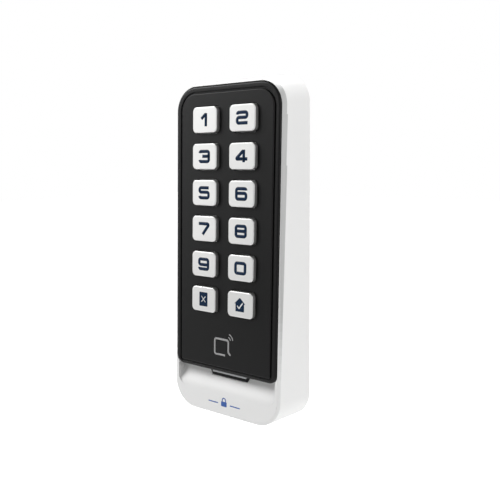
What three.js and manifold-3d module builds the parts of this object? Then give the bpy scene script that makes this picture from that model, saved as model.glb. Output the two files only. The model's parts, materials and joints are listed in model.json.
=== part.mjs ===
// Keypad access reader: a slim door reader with twelve metal keys on a black panel, in a cast
// housing that hangs on a steel wall bracket.
// Millimetres. +Z is up, the front faces -Y, and the wall is the plane y = 0.
// The front pieces are modelled in the front frame, which leans back with the front plane: its
// y = 0 is the front plane, its y grows towards the wall, and its z runs up the panel.

import * as THREE from 'three';
import { mergeVertices } from 'three/addons/utils/BufferGeometryUtils.js';
import Module from 'manifold-3d';

const wasm = await Module();
wasm.setup();

// ---- Driving dimensions ----

// Housing
const BODY_WIDTH = 50.4;
const BODY_HEIGHT = 127.6;
const BODY_CORNER = 10.2;
const FRONT_DEPTH = 18.4;
const FRONT_TILT = THREE.MathUtils.degToRad(2.4);
const SHOULDER_DROP = 1.9;
const SHOULDER_TILT = THREE.MathUtils.degToRad(3.3);
const END_DRAFT = 1.9;
const WALL = 2;
const RIM_WIDTH = 1.2;
const RIM_SETBACK = 0.35;
const CHIN_HEIGHT = 16.8;
const SCOOP_DEPTH = 4.5;
const SCOOP_HEIGHT = 9;
const SCOOP_SIDE = 0.6;

// Black panel: bezel, faceplate and gasket
const PANEL_GAP = 0.25;
const PANEL_CORNER_TOP = 8.7;
const PANEL_CORNER_BOTTOM = 3.2;
const BEZEL_WIDTH = 1.8;
const BEZEL_FOOT = 1.1;
const BEZEL_LEDGE = 1.7;
const BEZEL_LEDGE_THICKNESS = 1;
const BEZEL_EDGE = 0.5;
const GROOVE = 0.7;
const FACEPLATE_THICKNESS = 1.3;
const FACEPLATE_RISE = 0.25;
const FACEPLATE_EDGE = 0.35;
const GASKET_THICKNESS = 0.5;
const GASKET_WIDTH = 1.3;
const HOUSING_LEDGE = 1.6;
const HOUSING_LEDGE_THICKNESS = 2.55;

// Keys
const KEY_NAMES = ['1', '2', '3', '4', '5', '6', '7', '8', '9', '0', 'cancel', 'enter'];
const KEY_COLUMNS = 2;
const KEY_WIDTH = 11.5;
const KEY_HEIGHT = 9.35;
const KEY_CORNER = 1.7;
const KEY_EDGE = 0.5;
const KEY_RISE = 1.8;
const KEY_TRAVEL = 1;
const KEY_COLUMN_GAP = 5.84;
const KEY_ROW_GAP = 3.9;
const KEY_TOP_MARGIN = 7.55;
const KEY_CLEARANCE = 0.25;
const KEY_FLANGE = 0.7;
const KEY_FLANGE_THICKNESS = 0.7;

// Silicone mat, boards and antenna
const MAT_THICKNESS = 0.8;
const MAT_MARGIN = 1.8;
const DOME_BASE = 3.6;
const DOME_TOP = 2.1;
const DOME_WALL = 0.6;
const BOARD_THICKNESS = 1;
const BOARD_CORNER = 2;
const BOARD_TOP_MARGIN = 2;
const MAIN_BOARD_THICKNESS = 1.2;
const MAIN_BOARD_SIDE_GAP = 2.2;
const BOSS_RADIUS = 1.7;
const BOSS_FROM_SIDE = 4;
const BOSS_FROM_END = 6;
const COIL_WIDTH = 2.2;
const COIL_THICKNESS = 0.6;
const COIL_MARGIN = 2.2;

// Status light
const LIGHT_HALF_TOP = 9.9;
const LIGHT_HALF_BOTTOM = 8.3;
const LIGHT_HOLDER_HEIGHT = 2.8;
const LIGHT_GUIDE_HEIGHT = 0.9;
const LIGHT_GUIDE_GAP = 0.15;
const LIGHT_GUIDE_DROP = 0.8;
const LIGHT_GUIDE_SIDE = 0.4;
const LIGHT_GUIDE_RISE = 0.25;
const LED_SPACING = 5;
const LED_SIZE = new THREE.Vector3(1.6, 0.7, 0.8);
const LED_LENS_SHARE = 0.8;

// Rear cover, seal and fixings
const RECESS_DEPTH = 4.2;
const COVER_THICKNESS = 1.6;
const SEAL_THICKNESS = 0.6;
const SEAL_STEP = 1;
const SEAL_SIDE = 0.3;
const LUG_RADIUS = 3;
const LUG_OFFSET = 3.3;
const LUG_LENGTH = 2.5;
const PILLAR_RADIUS = 2.4;
const PILLAR_LENGTH = 1.1;
const PILLAR_FROM_SIDE = 3;
const PILLAR_FROM_END = 10;

// Screws: shank and head radii and head heights
const COVER_SCREW = { shank: 1.2, head: 2.3, headHeight: 1.3 };
const BOARD_SCREW = { shank: 0.9, head: 1.8, headHeight: 0.9 };
const LOCK_SCREW = { shank: 1, head: 1.9, headHeight: 0.9 };
const SCREW_CLEARANCE = 0.25;
const THREAD_CLEARANCE = 0.05;
const SCREW_TIP_GAP = 0.3;
const DRIVE_RADIUS = 0.9;
const DRIVE_DEPTH = 0.5;
const DRIVE_SIDES = 6;
const DRIVE_PIN_RADIUS = 0.3;
const DRIVE_PIN_BASE = 0.1;

// Wall bracket
const BRACKET_THICKNESS = 1.2;
const BRACKET_SIDE_GAP = 3.7;
const BRACKET_END_GAP = 4.9;
const BRACKET_FOOT_GAP = 1.7;
const BRACKET_CORNER = 3;
const FLANGE_HALF = 8;
const FLANGE_DEPTH = 3.9;
const LOCK_SCREW_FROM_WALL = 2.7;
const LOCK_SCREW_LENGTH = 6;
const LOCK_COUNTERBORE = 2;
const WALL_SLOT_WIDTH = 3.8;
const WALL_SLOT_LENGTH = 10;
const WALL_SLOT_SPACING = 60;
const WALL_SLOT_CENTRE = -3;
const HOOK_FROM_CENTRE = 10;
const HOOK_HALF_WIDTH = 3;
const HOOK_HEIGHT = 6;
const HOOK_REACH = 2.9;
const HOOK_FROM_TOP = 10;
const HOOK_WINDOW_HALF = 5.5;
const STAPLE_HALF = 4.8;
const STAPLE_BAR = 1.4;

// Cable entry
const CABLE_Z = -20;
const CABLE_BORE = 4;
const GROMMET_NECK = 5.7;
const GROMMET_FLANGE = 7.4;
const GROMMET_FLANGE_THICKNESS = 1;
const CABLE_OPENING_HALF = new THREE.Vector2(10, 8);

// Tamper switch
const TAMPER_X = -12;
const TAMPER_Z = 12;
const TAMPER_ROD = 1.2;
const TAMPER_TIP = 0.7;
const TAMPER_TIP_LENGTH = 0.5;
const TAMPER_BODY = new THREE.Vector3(7, 2.9, 7);
const TAMPER_ROOF = 0.4;
const TAMPER_TRAVEL = 0.8;

// Chips on the main board: middle, size and legs on each side
const CONTROLLER_CHIP = { x: 2, z: 16, width: 9, height: 9, thickness: 1.1, legs: 6 };
const RADIO_CHIP = { x: -12, z: 30, width: 5, height: 5, thickness: 1, legs: 4 };
const POWER_REGULATOR = { x: 11, z: 34, width: 4, height: 6, thickness: 1.4, legs: 3 };
const CHIP_LEG = { reach: 0.7, thickness: 0.3, widthShare: 0.4 };
const CHIP_STANDOFF = 0.1;

// Power inductor, sounder and terminal block on the main board
const INDUCTOR = { x: 10, z: 24, half: 2.8, corner: 1, foot: 0.9, winding: 2.1, neck: 1.2, cap: 0.5 };
const SOUNDER = { x: 13, z: -36, radius: 4.6, height: 3.4, edge: 0.4, hole: 0.8, holeDepth: 0.8 };
const TERMINALS = { x: -5, z: -36, poles: 4, pitch: 3.5, depth: 4.4, half: 4 };
const TERMINAL_MOUTH = { half: 1.1, floor: 0.8, roof: 3, depth: 3 };
const TERMINAL_SCREW = { radius: 1.1, fromMiddle: 1.6, depth: 1.4 };

// Board-to-board connector: a socket on the main board and a plug on the keypad board
const CONNECTOR_Z = -5;
const SOCKET_HALF = new THREE.Vector2(7, 2);
const SOCKET_HEIGHT = 1.6;
const SOCKET_WALL = 0.8;
const SOCKET_FLOOR = 0.6;
const PLUG_BASE = 0.6;

// Shared clearance between pieces that rest on each other
const SEAT_GAP = 0.3;
// Material left behind a blind screw hole
const BLIND_END = 0.5;

// Facets
const CORNER_STEPS = 6;
const SMALL_CORNER_STEPS = 3;
const ROUND_STEPS = 16;
const SMALL_ROUND_STEPS = 8;
const SCOOP_STEPS = 8;

// Cutting tools run this far past the face they open
const OVERCUT = 1;
// Cuts that only need to meet inside a solid overlap by this much
const JOIN = 0.05;
// Flat left between a slot's two end curves, so that no corner is doubled
const SLOT_FLAT = 0.005;
// Points closer than this are one corner
const MERGE_DISTANCE = 1e-4;

// ---- Places worked out from the driving dimensions ----

const bodyHalfWidth = BODY_WIDTH / 2;
const frontHalfHeight = BODY_HEIGHT / 2 - END_DRAFT;
const panelHalfWidth = bodyHalfWidth - RIM_WIDTH - PANEL_GAP;
const panelTop = frontHalfHeight - RIM_WIDTH - PANEL_GAP;
const panelBottom = -frontHalfHeight + CHIN_HEIGHT;

// Stack of the panel, measured in from the front plane
const faceplateBack = FACEPLATE_THICKNESS - FACEPLATE_RISE;
const bezelLedgeFront = faceplateBack + SEAT_GAP;
const bezelBack = bezelLedgeFront + BEZEL_LEDGE_THICKNESS;
const gasketFront = bezelBack + SEAT_GAP;
const housingLedge = gasketFront + GASKET_THICKNESS + SEAT_GAP;
const cavityFront = housingLedge + HOUSING_LEDGE_THICKNESS;
const flangeFront = faceplateBack + SEAT_GAP;
const flangeBack = flangeFront + KEY_FLANGE_THICKNESS;
const domeFront = flangeBack + SEAT_GAP;
const matFront = domeFront + KEY_TRAVEL + SEAT_GAP;
const matBack = matFront + MAT_THICKNESS;
const boardFront = matBack + SEAT_GAP;
const boardBack = boardFront + BOARD_THICKNESS;

// Stack of the rear, measured out from the wall
const coverBack = RECESS_DEPTH;
const coverFront = coverBack + COVER_THICKNESS;
const sealBack = coverFront + SEAT_GAP;
const sealFront = sealBack + SEAL_THICKNESS;
const stepDepth = sealFront + SEAT_GAP;
const lugHoleEnd = stepDepth + LUG_LENGTH - BLIND_END;
const pillarHoleEnd = coverBack + BLIND_END;
const mainBoardBack = coverFront + PILLAR_LENGTH + SEAT_GAP;
const mainBoardFront = mainBoardBack + MAIN_BOARD_THICKNESS;
// Y of the back of the pieces that stand on the main board
const boardPieceBase = -mainBoardFront - SEAT_GAP;

// Keys, counted from the top left
const keyColumnPitch = KEY_WIDTH + KEY_COLUMN_GAP;
const keyRowPitch = KEY_HEIGHT + KEY_ROW_GAP;
const keyRows = Math.ceil(KEY_NAMES.length / KEY_COLUMNS);
const firstKeyZ = panelTop - KEY_TOP_MARGIN - KEY_HEIGHT / 2;
const lastKeyZ = firstKeyZ - (keyRows - 1) * keyRowPitch;
const keyPlaces = KEY_NAMES.map((name, i) => ({
  name,
  x: ((i % KEY_COLUMNS) - (KEY_COLUMNS - 1) / 2) * keyColumnPitch,
  z: firstKeyZ - Math.floor(i / KEY_COLUMNS) * keyRowPitch,
}));
const keysHalfWidth = ((KEY_COLUMNS - 1) * keyColumnPitch + KEY_WIDTH) / 2;
const keysTop = firstKeyZ + KEY_HEIGHT / 2;
const keysBottom = lastKeyZ - KEY_HEIGHT / 2;

// Lugs in the housing's corners, for the cover screws
const lugX = bodyHalfWidth - BODY_CORNER + LUG_OFFSET;
const lugZ = frontHalfHeight - BODY_CORNER + LUG_OFFSET;
const lugPlaces = fourCorners(lugX, -lugZ, lugZ);

// Main board, inside the lugs and clear of them
const mainBoardHalfWidth = bodyHalfWidth - WALL - SEAL_STEP - MAIN_BOARD_SIDE_GAP;
const mainBoardTop = lugZ - LUG_RADIUS - SEAT_GAP;
const mainBoardBottom = -mainBoardTop;
const pillarPlaces = fourCorners(
  mainBoardHalfWidth - PILLAR_FROM_SIDE,
  mainBoardBottom + PILLAR_FROM_END,
  mainBoardTop - PILLAR_FROM_END,
);

// Keypad board, inside the throat of the housing's window
const throatHalfWidth = panelHalfWidth + PANEL_GAP - HOUSING_LEDGE;
const throatBottom = panelBottom - PANEL_GAP + HOUSING_LEDGE;
const keypadBoardHalfWidth = throatHalfWidth - 2 * SEAT_GAP;
const keypadBoardTop = keysTop + BOARD_TOP_MARGIN;
const keypadBoardBottom = throatBottom + 2 * SEAT_GAP;
const bossPlaces = fourCorners(
  panelHalfWidth - BOSS_FROM_SIDE,
  keypadBoardBottom + BOSS_FROM_END,
  keypadBoardTop - BOSS_FROM_END,
);

// Card zone below the keys
const matBottom = keysBottom - MAT_MARGIN;
const coilTop = matBottom - COIL_MARGIN;
const coilBottom = keypadBoardBottom + COIL_MARGIN;
const coilHalfWidth = panelHalfWidth - BOSS_FROM_SIDE - BOSS_RADIUS - SEAT_GAP;

// Status light, in the chin under the bezel
const lightTop = panelBottom;
const lightHolderBottom = lightTop - LIGHT_HOLDER_HEIGHT;
const lightHolderFront = housingLedge;
const lightHolderBack = cavityFront + SEAT_GAP;
const lightGuideTop = lightTop - LIGHT_GUIDE_DROP;
const lightGuideMiddle = lightGuideTop - LIGHT_GUIDE_HEIGHT / 2;
const ledFront = mainBoardFront + SEAT_GAP + LED_SIZE.y;
const lightGuideBack = frontDepthOf(ledFront, lightGuideMiddle) - SEAT_GAP;

// Wall bracket
const bracketHalfWidth = bodyHalfWidth - WALL - BRACKET_SIDE_GAP;
const recessHalfHeight = frontHalfHeight - WALL;
const bracketTop = recessHalfHeight - BRACKET_END_GAP;
const bracketBottom = -recessHalfHeight + BRACKET_FOOT_GAP;
const hookBottom = bracketTop - HOOK_FROM_TOP;

// Connector: the plug reaches down to just above the socket's floor, and as it leans with the
// front frame, it stands a little higher on its board to meet the socket
const socketFloor = mainBoardFront + SEAT_GAP + SOCKET_FLOOR;
const plugZ = CONNECTOR_Z + Math.tan(FRONT_TILT) * frontDepthOf(socketFloor, CONNECTOR_Z);
const plugEnd = frontDepthOf(socketFloor, plugZ) - SEAT_GAP;

// ---- Small helpers ----

// Depth behind the front plane of a point that stands a distance off the wall, at a height.
function frontDepthOf(fromWall, z) {
  return FRONT_DEPTH - Math.tan(FRONT_TILT) * z - fromWall;
}

function fourCorners(x, low, high) {
  return [[-x, high], [x, high], [-x, low], [x, low]];
}

// Points of a rounded rectangle in x and z, counter-clockwise, with its own radius at each end.
function roundedRect(halfWidth, low, high, lowRadius, highRadius, steps) {
  const corners = [
    { x: halfWidth - highRadius, z: high - highRadius, r: highRadius, start: 0 },
    { x: -halfWidth + highRadius, z: high - highRadius, r: highRadius, start: 1 },
    { x: -halfWidth + lowRadius, z: low + lowRadius, r: lowRadius, start: 2 },
    { x: halfWidth - lowRadius, z: low + lowRadius, r: lowRadius, start: 3 },
  ];
  const points = [];
  for (const corner of corners) {
    for (let i = 0; i <= steps; i++) {
      const angle = (corner.start + i / steps) * Math.PI / 2;
      points.push(new THREE.Vector2(
        corner.x + corner.r * Math.cos(angle),
        corner.z + corner.r * Math.sin(angle),
      ));
    }
  }
  return points;
}

// A ring of points at the depth that depthAt gives for each height.
function ring(outline, depthAt) {
  return outline.map((p) => new THREE.Vector3(p.x, depthAt(p.y), p.y));
}

function flatRing(outline, depth) {
  return ring(outline, () => depth);
}

// A closed solid through rings of equal length, capped at both ends.
function loft(rings) {
  const count = rings[0].length;
  const positions = [];
  const add = (a, b, c) => positions.push(...a.toArray(), ...b.toArray(), ...c.toArray());
  for (let i = 0; i + 1 < rings.length; i++) {
    for (let j = 0; j < count; j++) {
      const next = (j + 1) % count;
      add(rings[i][j], rings[i + 1][j], rings[i + 1][next]);
      add(rings[i][j], rings[i + 1][next], rings[i][next]);
    }
  }
  const first = rings[0];
  const last = rings[rings.length - 1];
  const flat = first.map((p) => new THREE.Vector2(p.x, p.z));
  for (const [a, b, c] of THREE.ShapeUtils.triangulateShape(flat, [])) {
    add(first[a], first[b], first[c]);
    add(last[a], last[c], last[b]);
  }
  const geometry = new THREE.BufferGeometry();
  geometry.setAttribute('position', new THREE.Float32BufferAttribute(positions, 3));
  return solidFrom(signedVolume(positions) < 0 ? flipped(geometry) : geometry);
}

function signedVolume(positions) {
  let volume = 0;
  const a = new THREE.Vector3();
  const b = new THREE.Vector3();
  const c = new THREE.Vector3();
  for (let i = 0; i < positions.length; i += 9) {
    a.fromArray(positions, i);
    b.fromArray(positions, i + 3);
    c.fromArray(positions, i + 6);
    volume += a.dot(b.cross(c));
  }
  return volume;
}

function flipped(geometry) {
  const array = geometry.getAttribute('position').array;
  for (let i = 0; i < array.length; i += 9) {
    for (let k = 0; k < 3; k++) {
      [array[i + 3 + k], array[i + 6 + k]] = [array[i + 6 + k], array[i + 3 + k]];
    }
  }
  return geometry;
}

// A manifold solid from a closed three.js geometry, with shared corners merged.
function solidFrom(geometry) {
  const bare = new THREE.BufferGeometry();
  bare.setAttribute('position', geometry.getAttribute('position'));
  bare.setIndex(geometry.index);
  const merged = mergeVertices(bare, MERGE_DISTANCE);
  const index = merged.index.array;
  const triVerts = [];
  for (let i = 0; i < index.length; i += 3) {
    const corners = [index[i], index[i + 1], index[i + 2]];
    if (new Set(corners).size === 3) {
      triVerts.push(...corners);
    }
  }
  return new wasm.Manifold(new wasm.Mesh({
    numProp: 3,
    vertProperties: new Float32Array(merged.getAttribute('position').array),
    triVerts: new Uint32Array(triVerts),
  }));
}

function geometryFrom(solid) {
  const { vertProperties, triVerts, numProp } = solid.getMesh();
  const positions = new Float32Array(vertProperties.length / numProp * 3);
  for (let i = 0; i < positions.length / 3; i++) {
    positions.set(vertProperties.subarray(i * numProp, i * numProp + 3), i * 3);
  }
  const geometry = new THREE.BufferGeometry();
  geometry.setAttribute('position', new THREE.BufferAttribute(positions, 3));
  geometry.setIndex(new THREE.BufferAttribute(new Uint32Array(triVerts), 1));
  geometry.computeVertexNormals();
  return geometry;
}

// A flat plate of the given outline between two depths.
function prism(outline, from, to) {
  return loft([flatRing(outline, from), flatRing(outline, to)]);
}

function block(x, y, z) {
  const [x0, x1] = x;
  const [y0, y1] = y;
  const [z0, z1] = z;
  const geometry = new THREE.BoxGeometry(x1 - x0, Math.abs(y1 - y0), z1 - z0);
  geometry.translate((x0 + x1) / 2, (y0 + y1) / 2, (z0 + z1) / 2);
  return solidFrom(geometry);
}

// A round bar along Y, which is the cylinder geometry's own axis.
function barY(x, z, radius, from, to, steps = SMALL_ROUND_STEPS) {
  const geometry = new THREE.CylinderGeometry(radius, radius, Math.abs(to - from), steps);
  geometry.translate(x, (from + to) / 2, z);
  return solidFrom(geometry);
}

function barZ(x, y, radius, from, to, steps = SMALL_ROUND_STEPS) {
  const geometry = new THREE.CylinderGeometry(radius, radius, to - from, steps);
  geometry.rotateX(Math.PI / 2);
  geometry.translate(x, y, (from + to) / 2);
  return solidFrom(geometry);
}

// A solid turned about the Y axis at x, z from a closed profile of [radius, y] pairs.
function turnedY(x, z, profile, steps = ROUND_STEPS) {
  const points = profile.map(([r, y]) => new THREE.Vector2(r, y));
  const geometry = new THREE.LatheGeometry(points, steps);
  geometry.translate(x, 0, z);
  const positions = geometry.toNonIndexed().getAttribute('position').array;
  const plain = new THREE.BufferGeometry();
  plain.setAttribute('position', new THREE.BufferAttribute(positions, 3));
  return solidFrom(signedVolume(positions) < 0 ? flipped(plain) : plain);
}

function joined(solids) {
  return solids.reduce((sum, solid) => sum.add(solid));
}

function cut(solid, tools) {
  return tools.reduce((rest, tool) => rest.subtract(tool), solid);
}

// The front frame as a matrix, for tools that cut the housing.
const frontMatrix = new THREE.Matrix4()
  .makeRotationX(-FRONT_TILT)
  .setPosition(0, -FRONT_DEPTH, 0);

function inFrontFrame(solid) {
  return solidFrom(geometryFrom(solid).applyMatrix4(frontMatrix));
}

// ---- Outlines shared by pieces that fit together ----

function bodyOutline(draft, inset) {
  const half = BODY_HEIGHT / 2 - draft - inset;
  const radius = BODY_CORNER - inset;
  return roundedRect(bodyHalfWidth - inset, -half, half, radius, radius, CORNER_STEPS);
}

// The panel's outline drawn in by a width at the sides and top, and by its own width at the foot.
function panelOutline(inset, foot = inset) {
  return roundedRect(
    panelHalfWidth - inset,
    panelBottom + foot,
    panelTop - inset,
    Math.max(PANEL_CORNER_BOTTOM - foot, GROOVE),
    PANEL_CORNER_TOP - inset,
    CORNER_STEPS,
  );
}

function keyOutline(x, z, grow) {
  const outline = roundedRect(
    KEY_WIDTH / 2 + grow,
    -KEY_HEIGHT / 2 - grow,
    KEY_HEIGHT / 2 + grow,
    KEY_CORNER + grow,
    KEY_CORNER + grow,
    SMALL_CORNER_STEPS,
  );
  return outline.map((p) => new THREE.Vector2(p.x + x, p.y + z));
}

// The status light's tapered outline, grown outwards by a gap.
function lightOutline(grow) {
  return [
    new THREE.Vector2(LIGHT_HALF_TOP + grow, lightTop),
    new THREE.Vector2(-LIGHT_HALF_TOP - grow, lightTop),
    new THREE.Vector2(-LIGHT_HALF_BOTTOM - grow, lightHolderBottom - grow),
    new THREE.Vector2(LIGHT_HALF_BOTTOM + grow, lightHolderBottom - grow),
  ];
}

function planeAt(depth, tilt) {
  return (z) => -depth + Math.tan(tilt) * z;
}

// ---- Housing and panel ----

// Profile of the scoop under the panel, a smooth step from the chin's face to its full depth.
function scoopTool() {
  const top = panelBottom - PANEL_GAP;
  const low = top - SCOOP_HEIGHT;
  const profile = [[-OVERCUT, top + HOUSING_LEDGE], [-OVERCUT, low]];
  for (let i = 0; i <= SCOOP_STEPS; i++) {
    const t = i / SCOOP_STEPS;
    const rise = (1 - Math.cos(Math.PI * t)) / 2;
    profile.push([RIM_SETBACK + (SCOOP_DEPTH - RIM_SETBACK) * rise, low + SCOOP_HEIGHT * t]);
  }
  profile.push([SCOOP_DEPTH, top + HOUSING_LEDGE]);
  const half = panelHalfWidth - SCOOP_SIDE;
  const shape = new THREE.Shape(profile.map(([depth, z]) => new THREE.Vector2(depth, z)));
  const geometry = new THREE.ExtrudeGeometry(shape, { depth: 2 * half, bevelEnabled: false });
  // The shape's x is depth and its y is height, so the extrusion is turned to run along X.
  geometry.applyMatrix4(new THREE.Matrix4().set(
    0, 0, 1, -half,
    1, 0, 0, 0,
    0, 1, 0, 0,
    0, 0, 0, 1,
  ));
  return solidFrom(geometry);
}

function frontHousing() {
  const wallFace = () => 0;
  const shoulder = planeAt(FRONT_DEPTH - SHOULDER_DROP, SHOULDER_TILT);
  const rim = planeAt(FRONT_DEPTH - RIM_SETBACK, FRONT_TILT);
  const outside = loft([
    ring(bodyOutline(0, 0), wallFace),
    ring(bodyOutline(END_DRAFT, 0), shoulder),
    ring(bodyOutline(END_DRAFT, RIM_WIDTH), rim),
  ]);
  const recess = prism(bodyOutline(END_DRAFT, WALL), OVERCUT, -stepDepth);
  const inner = bodyOutline(END_DRAFT, WALL + SEAL_STEP);
  const cavity = loft([
    flatRing(inner, -stepDepth + JOIN),
    ring(inner, planeAt(FRONT_DEPTH - cavityFront, FRONT_TILT)),
  ]);
  const pocket = inFrontFrame(prism(panelOutline(-PANEL_GAP), -OVERCUT - RIM_WIDTH, housingLedge));
  const throat = inFrontFrame(prism(
    panelOutline(HOUSING_LEDGE - PANEL_GAP),
    housingLedge - JOIN,
    cavityFront + JOIN,
  ));
  const lightRange = [SCOOP_DEPTH - 2 * OVERCUT, cavityFront + JOIN];
  const lightHalf = LIGHT_HALF_TOP + SEAT_GAP;
  const lightSlot = inFrontFrame(joined([
    prism(lightOutline(SEAT_GAP), ...lightRange),
    block([-lightHalf, lightHalf], lightRange, [lightTop - JOIN, throatBottom + JOIN]),
  ]));
  const shell = cut(outside, [recess, cavity, pocket, throat, lightSlot, inFrontFrame(scoopTool())]);
  const lugs = lugPlaces.map(([x, z]) => barY(x, z, LUG_RADIUS, -stepDepth, -stepDepth - LUG_LENGTH));
  const screwHole = COVER_SCREW.shank + SCREW_CLEARANCE;
  const holes = lugPlaces.map(([x, z]) => barY(x, z, screwHole, -coverFront, -lugHoleEnd));
  const bottom = -BODY_HEIGHT / 2;
  const lockHole = barZ(
    0,
    -LOCK_SCREW_FROM_WALL,
    LOCK_SCREW.shank + SCREW_CLEARANCE,
    bottom - OVERCUT,
    -recessHalfHeight + OVERCUT,
  );
  const counterbore = barZ(
    0,
    -LOCK_SCREW_FROM_WALL,
    LOCK_SCREW.head + SCREW_CLEARANCE,
    bottom - OVERCUT,
    bottom + LOCK_COUNTERBORE,
  );
  return cut(joined([shell, ...lugs]), [...holes, lockHole, counterbore]);
}

function keypadBezel() {
  const body = loft([
    flatRing(panelOutline(BEZEL_EDGE), 0),
    flatRing(panelOutline(0), BEZEL_EDGE),
    flatRing(panelOutline(0), bezelBack),
  ]);
  const opening = prism(panelOutline(BEZEL_WIDTH, BEZEL_FOOT), -OVERCUT, bezelLedgeFront);
  const ledgeHole = prism(
    panelOutline(BEZEL_WIDTH + BEZEL_LEDGE, BEZEL_FOOT + BEZEL_LEDGE),
    bezelLedgeFront - JOIN,
    bezelBack + OVERCUT,
  );
  const bosses = bossPlaces.map(([x, z]) => (
    barY(x, z, BOSS_RADIUS, bezelLedgeFront + SEAT_GAP, boardFront - SEAT_GAP)
  ));
  const holes = bossPlaces.map(([x, z]) => (
    barY(x, z, BOARD_SCREW.shank + THREAD_CLEARANCE, bezelBack, boardFront)
  ));
  return cut(joined([cut(body, [opening, ledgeHole]), ...bosses]), holes);
}

function keypadFaceplate() {
  const inset = BEZEL_WIDTH + GROOVE;
  const foot = BEZEL_FOOT + GROOVE;
  const plate = loft([
    flatRing(panelOutline(inset + FACEPLATE_EDGE, foot + FACEPLATE_EDGE), -FACEPLATE_RISE),
    flatRing(panelOutline(inset, foot), -FACEPLATE_RISE + FACEPLATE_EDGE),
    flatRing(panelOutline(inset, foot), faceplateBack),
  ]);
  const holes = keyPlaces.map(({ x, z }) => (
    prism(keyOutline(x, z, KEY_CLEARANCE), -FACEPLATE_RISE - OVERCUT, faceplateBack + OVERCUT)
  ));
  return cut(plate, holes);
}

function panelGasket() {
  const outer = prism(panelOutline(0), gasketFront, gasketFront + GASKET_THICKNESS);
  const inner = prism(
    panelOutline(GASKET_WIDTH),
    gasketFront - OVERCUT,
    gasketFront + GASKET_THICKNESS + OVERCUT,
  );
  return cut(outer, [inner]);
}

// ---- Keys and what lies behind them ----

function key(x, z) {
  return loft([
    flatRing(keyOutline(x, z, -KEY_EDGE), -KEY_RISE),
    flatRing(keyOutline(x, z, 0), -KEY_RISE + KEY_EDGE),
    flatRing(keyOutline(x, z, 0), flangeFront),
    flatRing(keyOutline(x, z, KEY_FLANGE), flangeFront + JOIN),
    flatRing(keyOutline(x, z, KEY_FLANGE), flangeBack),
  ]);
}

function keyMat() {
  const half = keysHalfWidth + MAT_MARGIN;
  const sheet = prism(
    roundedRect(half, matBottom, keysTop + MAT_MARGIN, KEY_CORNER, KEY_CORNER, SMALL_CORNER_STEPS),
    matFront,
    matBack,
  );
  const domes = keyPlaces.map(({ x, z }) => turnedY(x, z, [
    [0, domeFront],
    [DOME_TOP, domeFront],
    [DOME_BASE, matFront + JOIN],
    [DOME_BASE, matBack - JOIN],
    [0, matBack - JOIN],
  ], SMALL_ROUND_STEPS));
  const hollows = keyPlaces.map(({ x, z }) => turnedY(x, z, [
    [0, domeFront + DOME_WALL],
    [DOME_TOP - DOME_WALL, domeFront + DOME_WALL],
    [DOME_BASE - DOME_WALL, matFront + DOME_WALL / 2],
    [DOME_BASE - DOME_WALL, matBack + OVERCUT],
    [0, matBack + OVERCUT],
  ], SMALL_ROUND_STEPS));
  // The mat is notched round the bosses wherever it reaches them.
  const notches = bossPlaces.map(([x, z]) => (
    barY(x, z, BOSS_RADIUS + SEAT_GAP, matFront - OVERCUT, matBack + OVERCUT)
  ));
  return cut(joined([sheet, ...domes]), [...hollows, ...notches]);
}

function keypadBoard() {
  const outline = roundedRect(
    keypadBoardHalfWidth,
    keypadBoardBottom,
    keypadBoardTop,
    BOARD_CORNER,
    BOARD_CORNER,
    SMALL_CORNER_STEPS,
  );
  const holes = bossPlaces.map(([x, z]) => (
    barY(x, z, BOARD_SCREW.shank + SCREW_CLEARANCE, boardFront - OVERCUT, boardBack + OVERCUT)
  ));
  return cut(prism(outline, boardFront, boardBack), holes);
}

function cardZoneOutline(inset) {
  return roundedRect(
    coilHalfWidth - inset,
    coilBottom + inset,
    coilTop - inset,
    KEY_CORNER,
    KEY_CORNER,
    SMALL_CORNER_STEPS,
  );
}

function antennaCoil() {
  const front = bezelBack + SEAT_GAP;
  const back = front + COIL_THICKNESS;
  return cut(prism(cardZoneOutline(0), front, back), [
    prism(cardZoneOutline(COIL_WIDTH), front - OVERCUT, back + OVERCUT),
  ]);
}

function ferriteSheet() {
  const front = bezelBack + COIL_THICKNESS + 2 * SEAT_GAP;
  return prism(cardZoneOutline(0), front, boardFront - SEAT_GAP);
}

// ---- Status light ----

function lightHolder() {
  const body = prism(lightOutline(0), lightHolderFront, lightHolderBack);
  const slot = block(
    [-LIGHT_HALF_BOTTOM - LIGHT_GUIDE_SIDE + SEAT_GAP, LIGHT_HALF_BOTTOM + LIGHT_GUIDE_SIDE - SEAT_GAP],
    [lightHolderFront - OVERCUT, lightHolderBack + OVERCUT],
    [lightGuideTop - LIGHT_GUIDE_HEIGHT - LIGHT_GUIDE_GAP, lightGuideTop + LIGHT_GUIDE_GAP],
  );
  return cut(body, [slot]);
}

function lightGuide() {
  const half = LIGHT_HALF_BOTTOM + LIGHT_GUIDE_SIDE - 2 * SEAT_GAP;
  const low = lightGuideTop - LIGHT_GUIDE_HEIGHT;
  const bar = block(
    [-half, half],
    [lightHolderFront - LIGHT_GUIDE_RISE, lightHolderBack],
    [low, lightGuideTop],
  );
  const pipes = [-1, 0, 1].map((i) => block(
    [i * LED_SPACING - LED_SIZE.x, i * LED_SPACING + LED_SIZE.x],
    [lightHolderBack - JOIN, lightGuideBack],
    [low, lightGuideTop],
  ));
  return joined([bar, ...pipes]);
}

// A light chip with its lens, soldered to the front of the main board.
function statusLed(x) {
  const base = mainBoardFront + SEAT_GAP;
  const half = LED_SIZE.x / 2;
  const z = lightGuideMiddle;
  const body = block([x - half, x + half], [-base, -base - LED_SIZE.y / 2], [z - LED_SIZE.z, z + LED_SIZE.z]);
  const lens = barY(x, z, half * LED_LENS_SHARE, -base, -ledFront);
  return body.add(lens);
}

// ---- Rear cover, seal and screws ----

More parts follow.
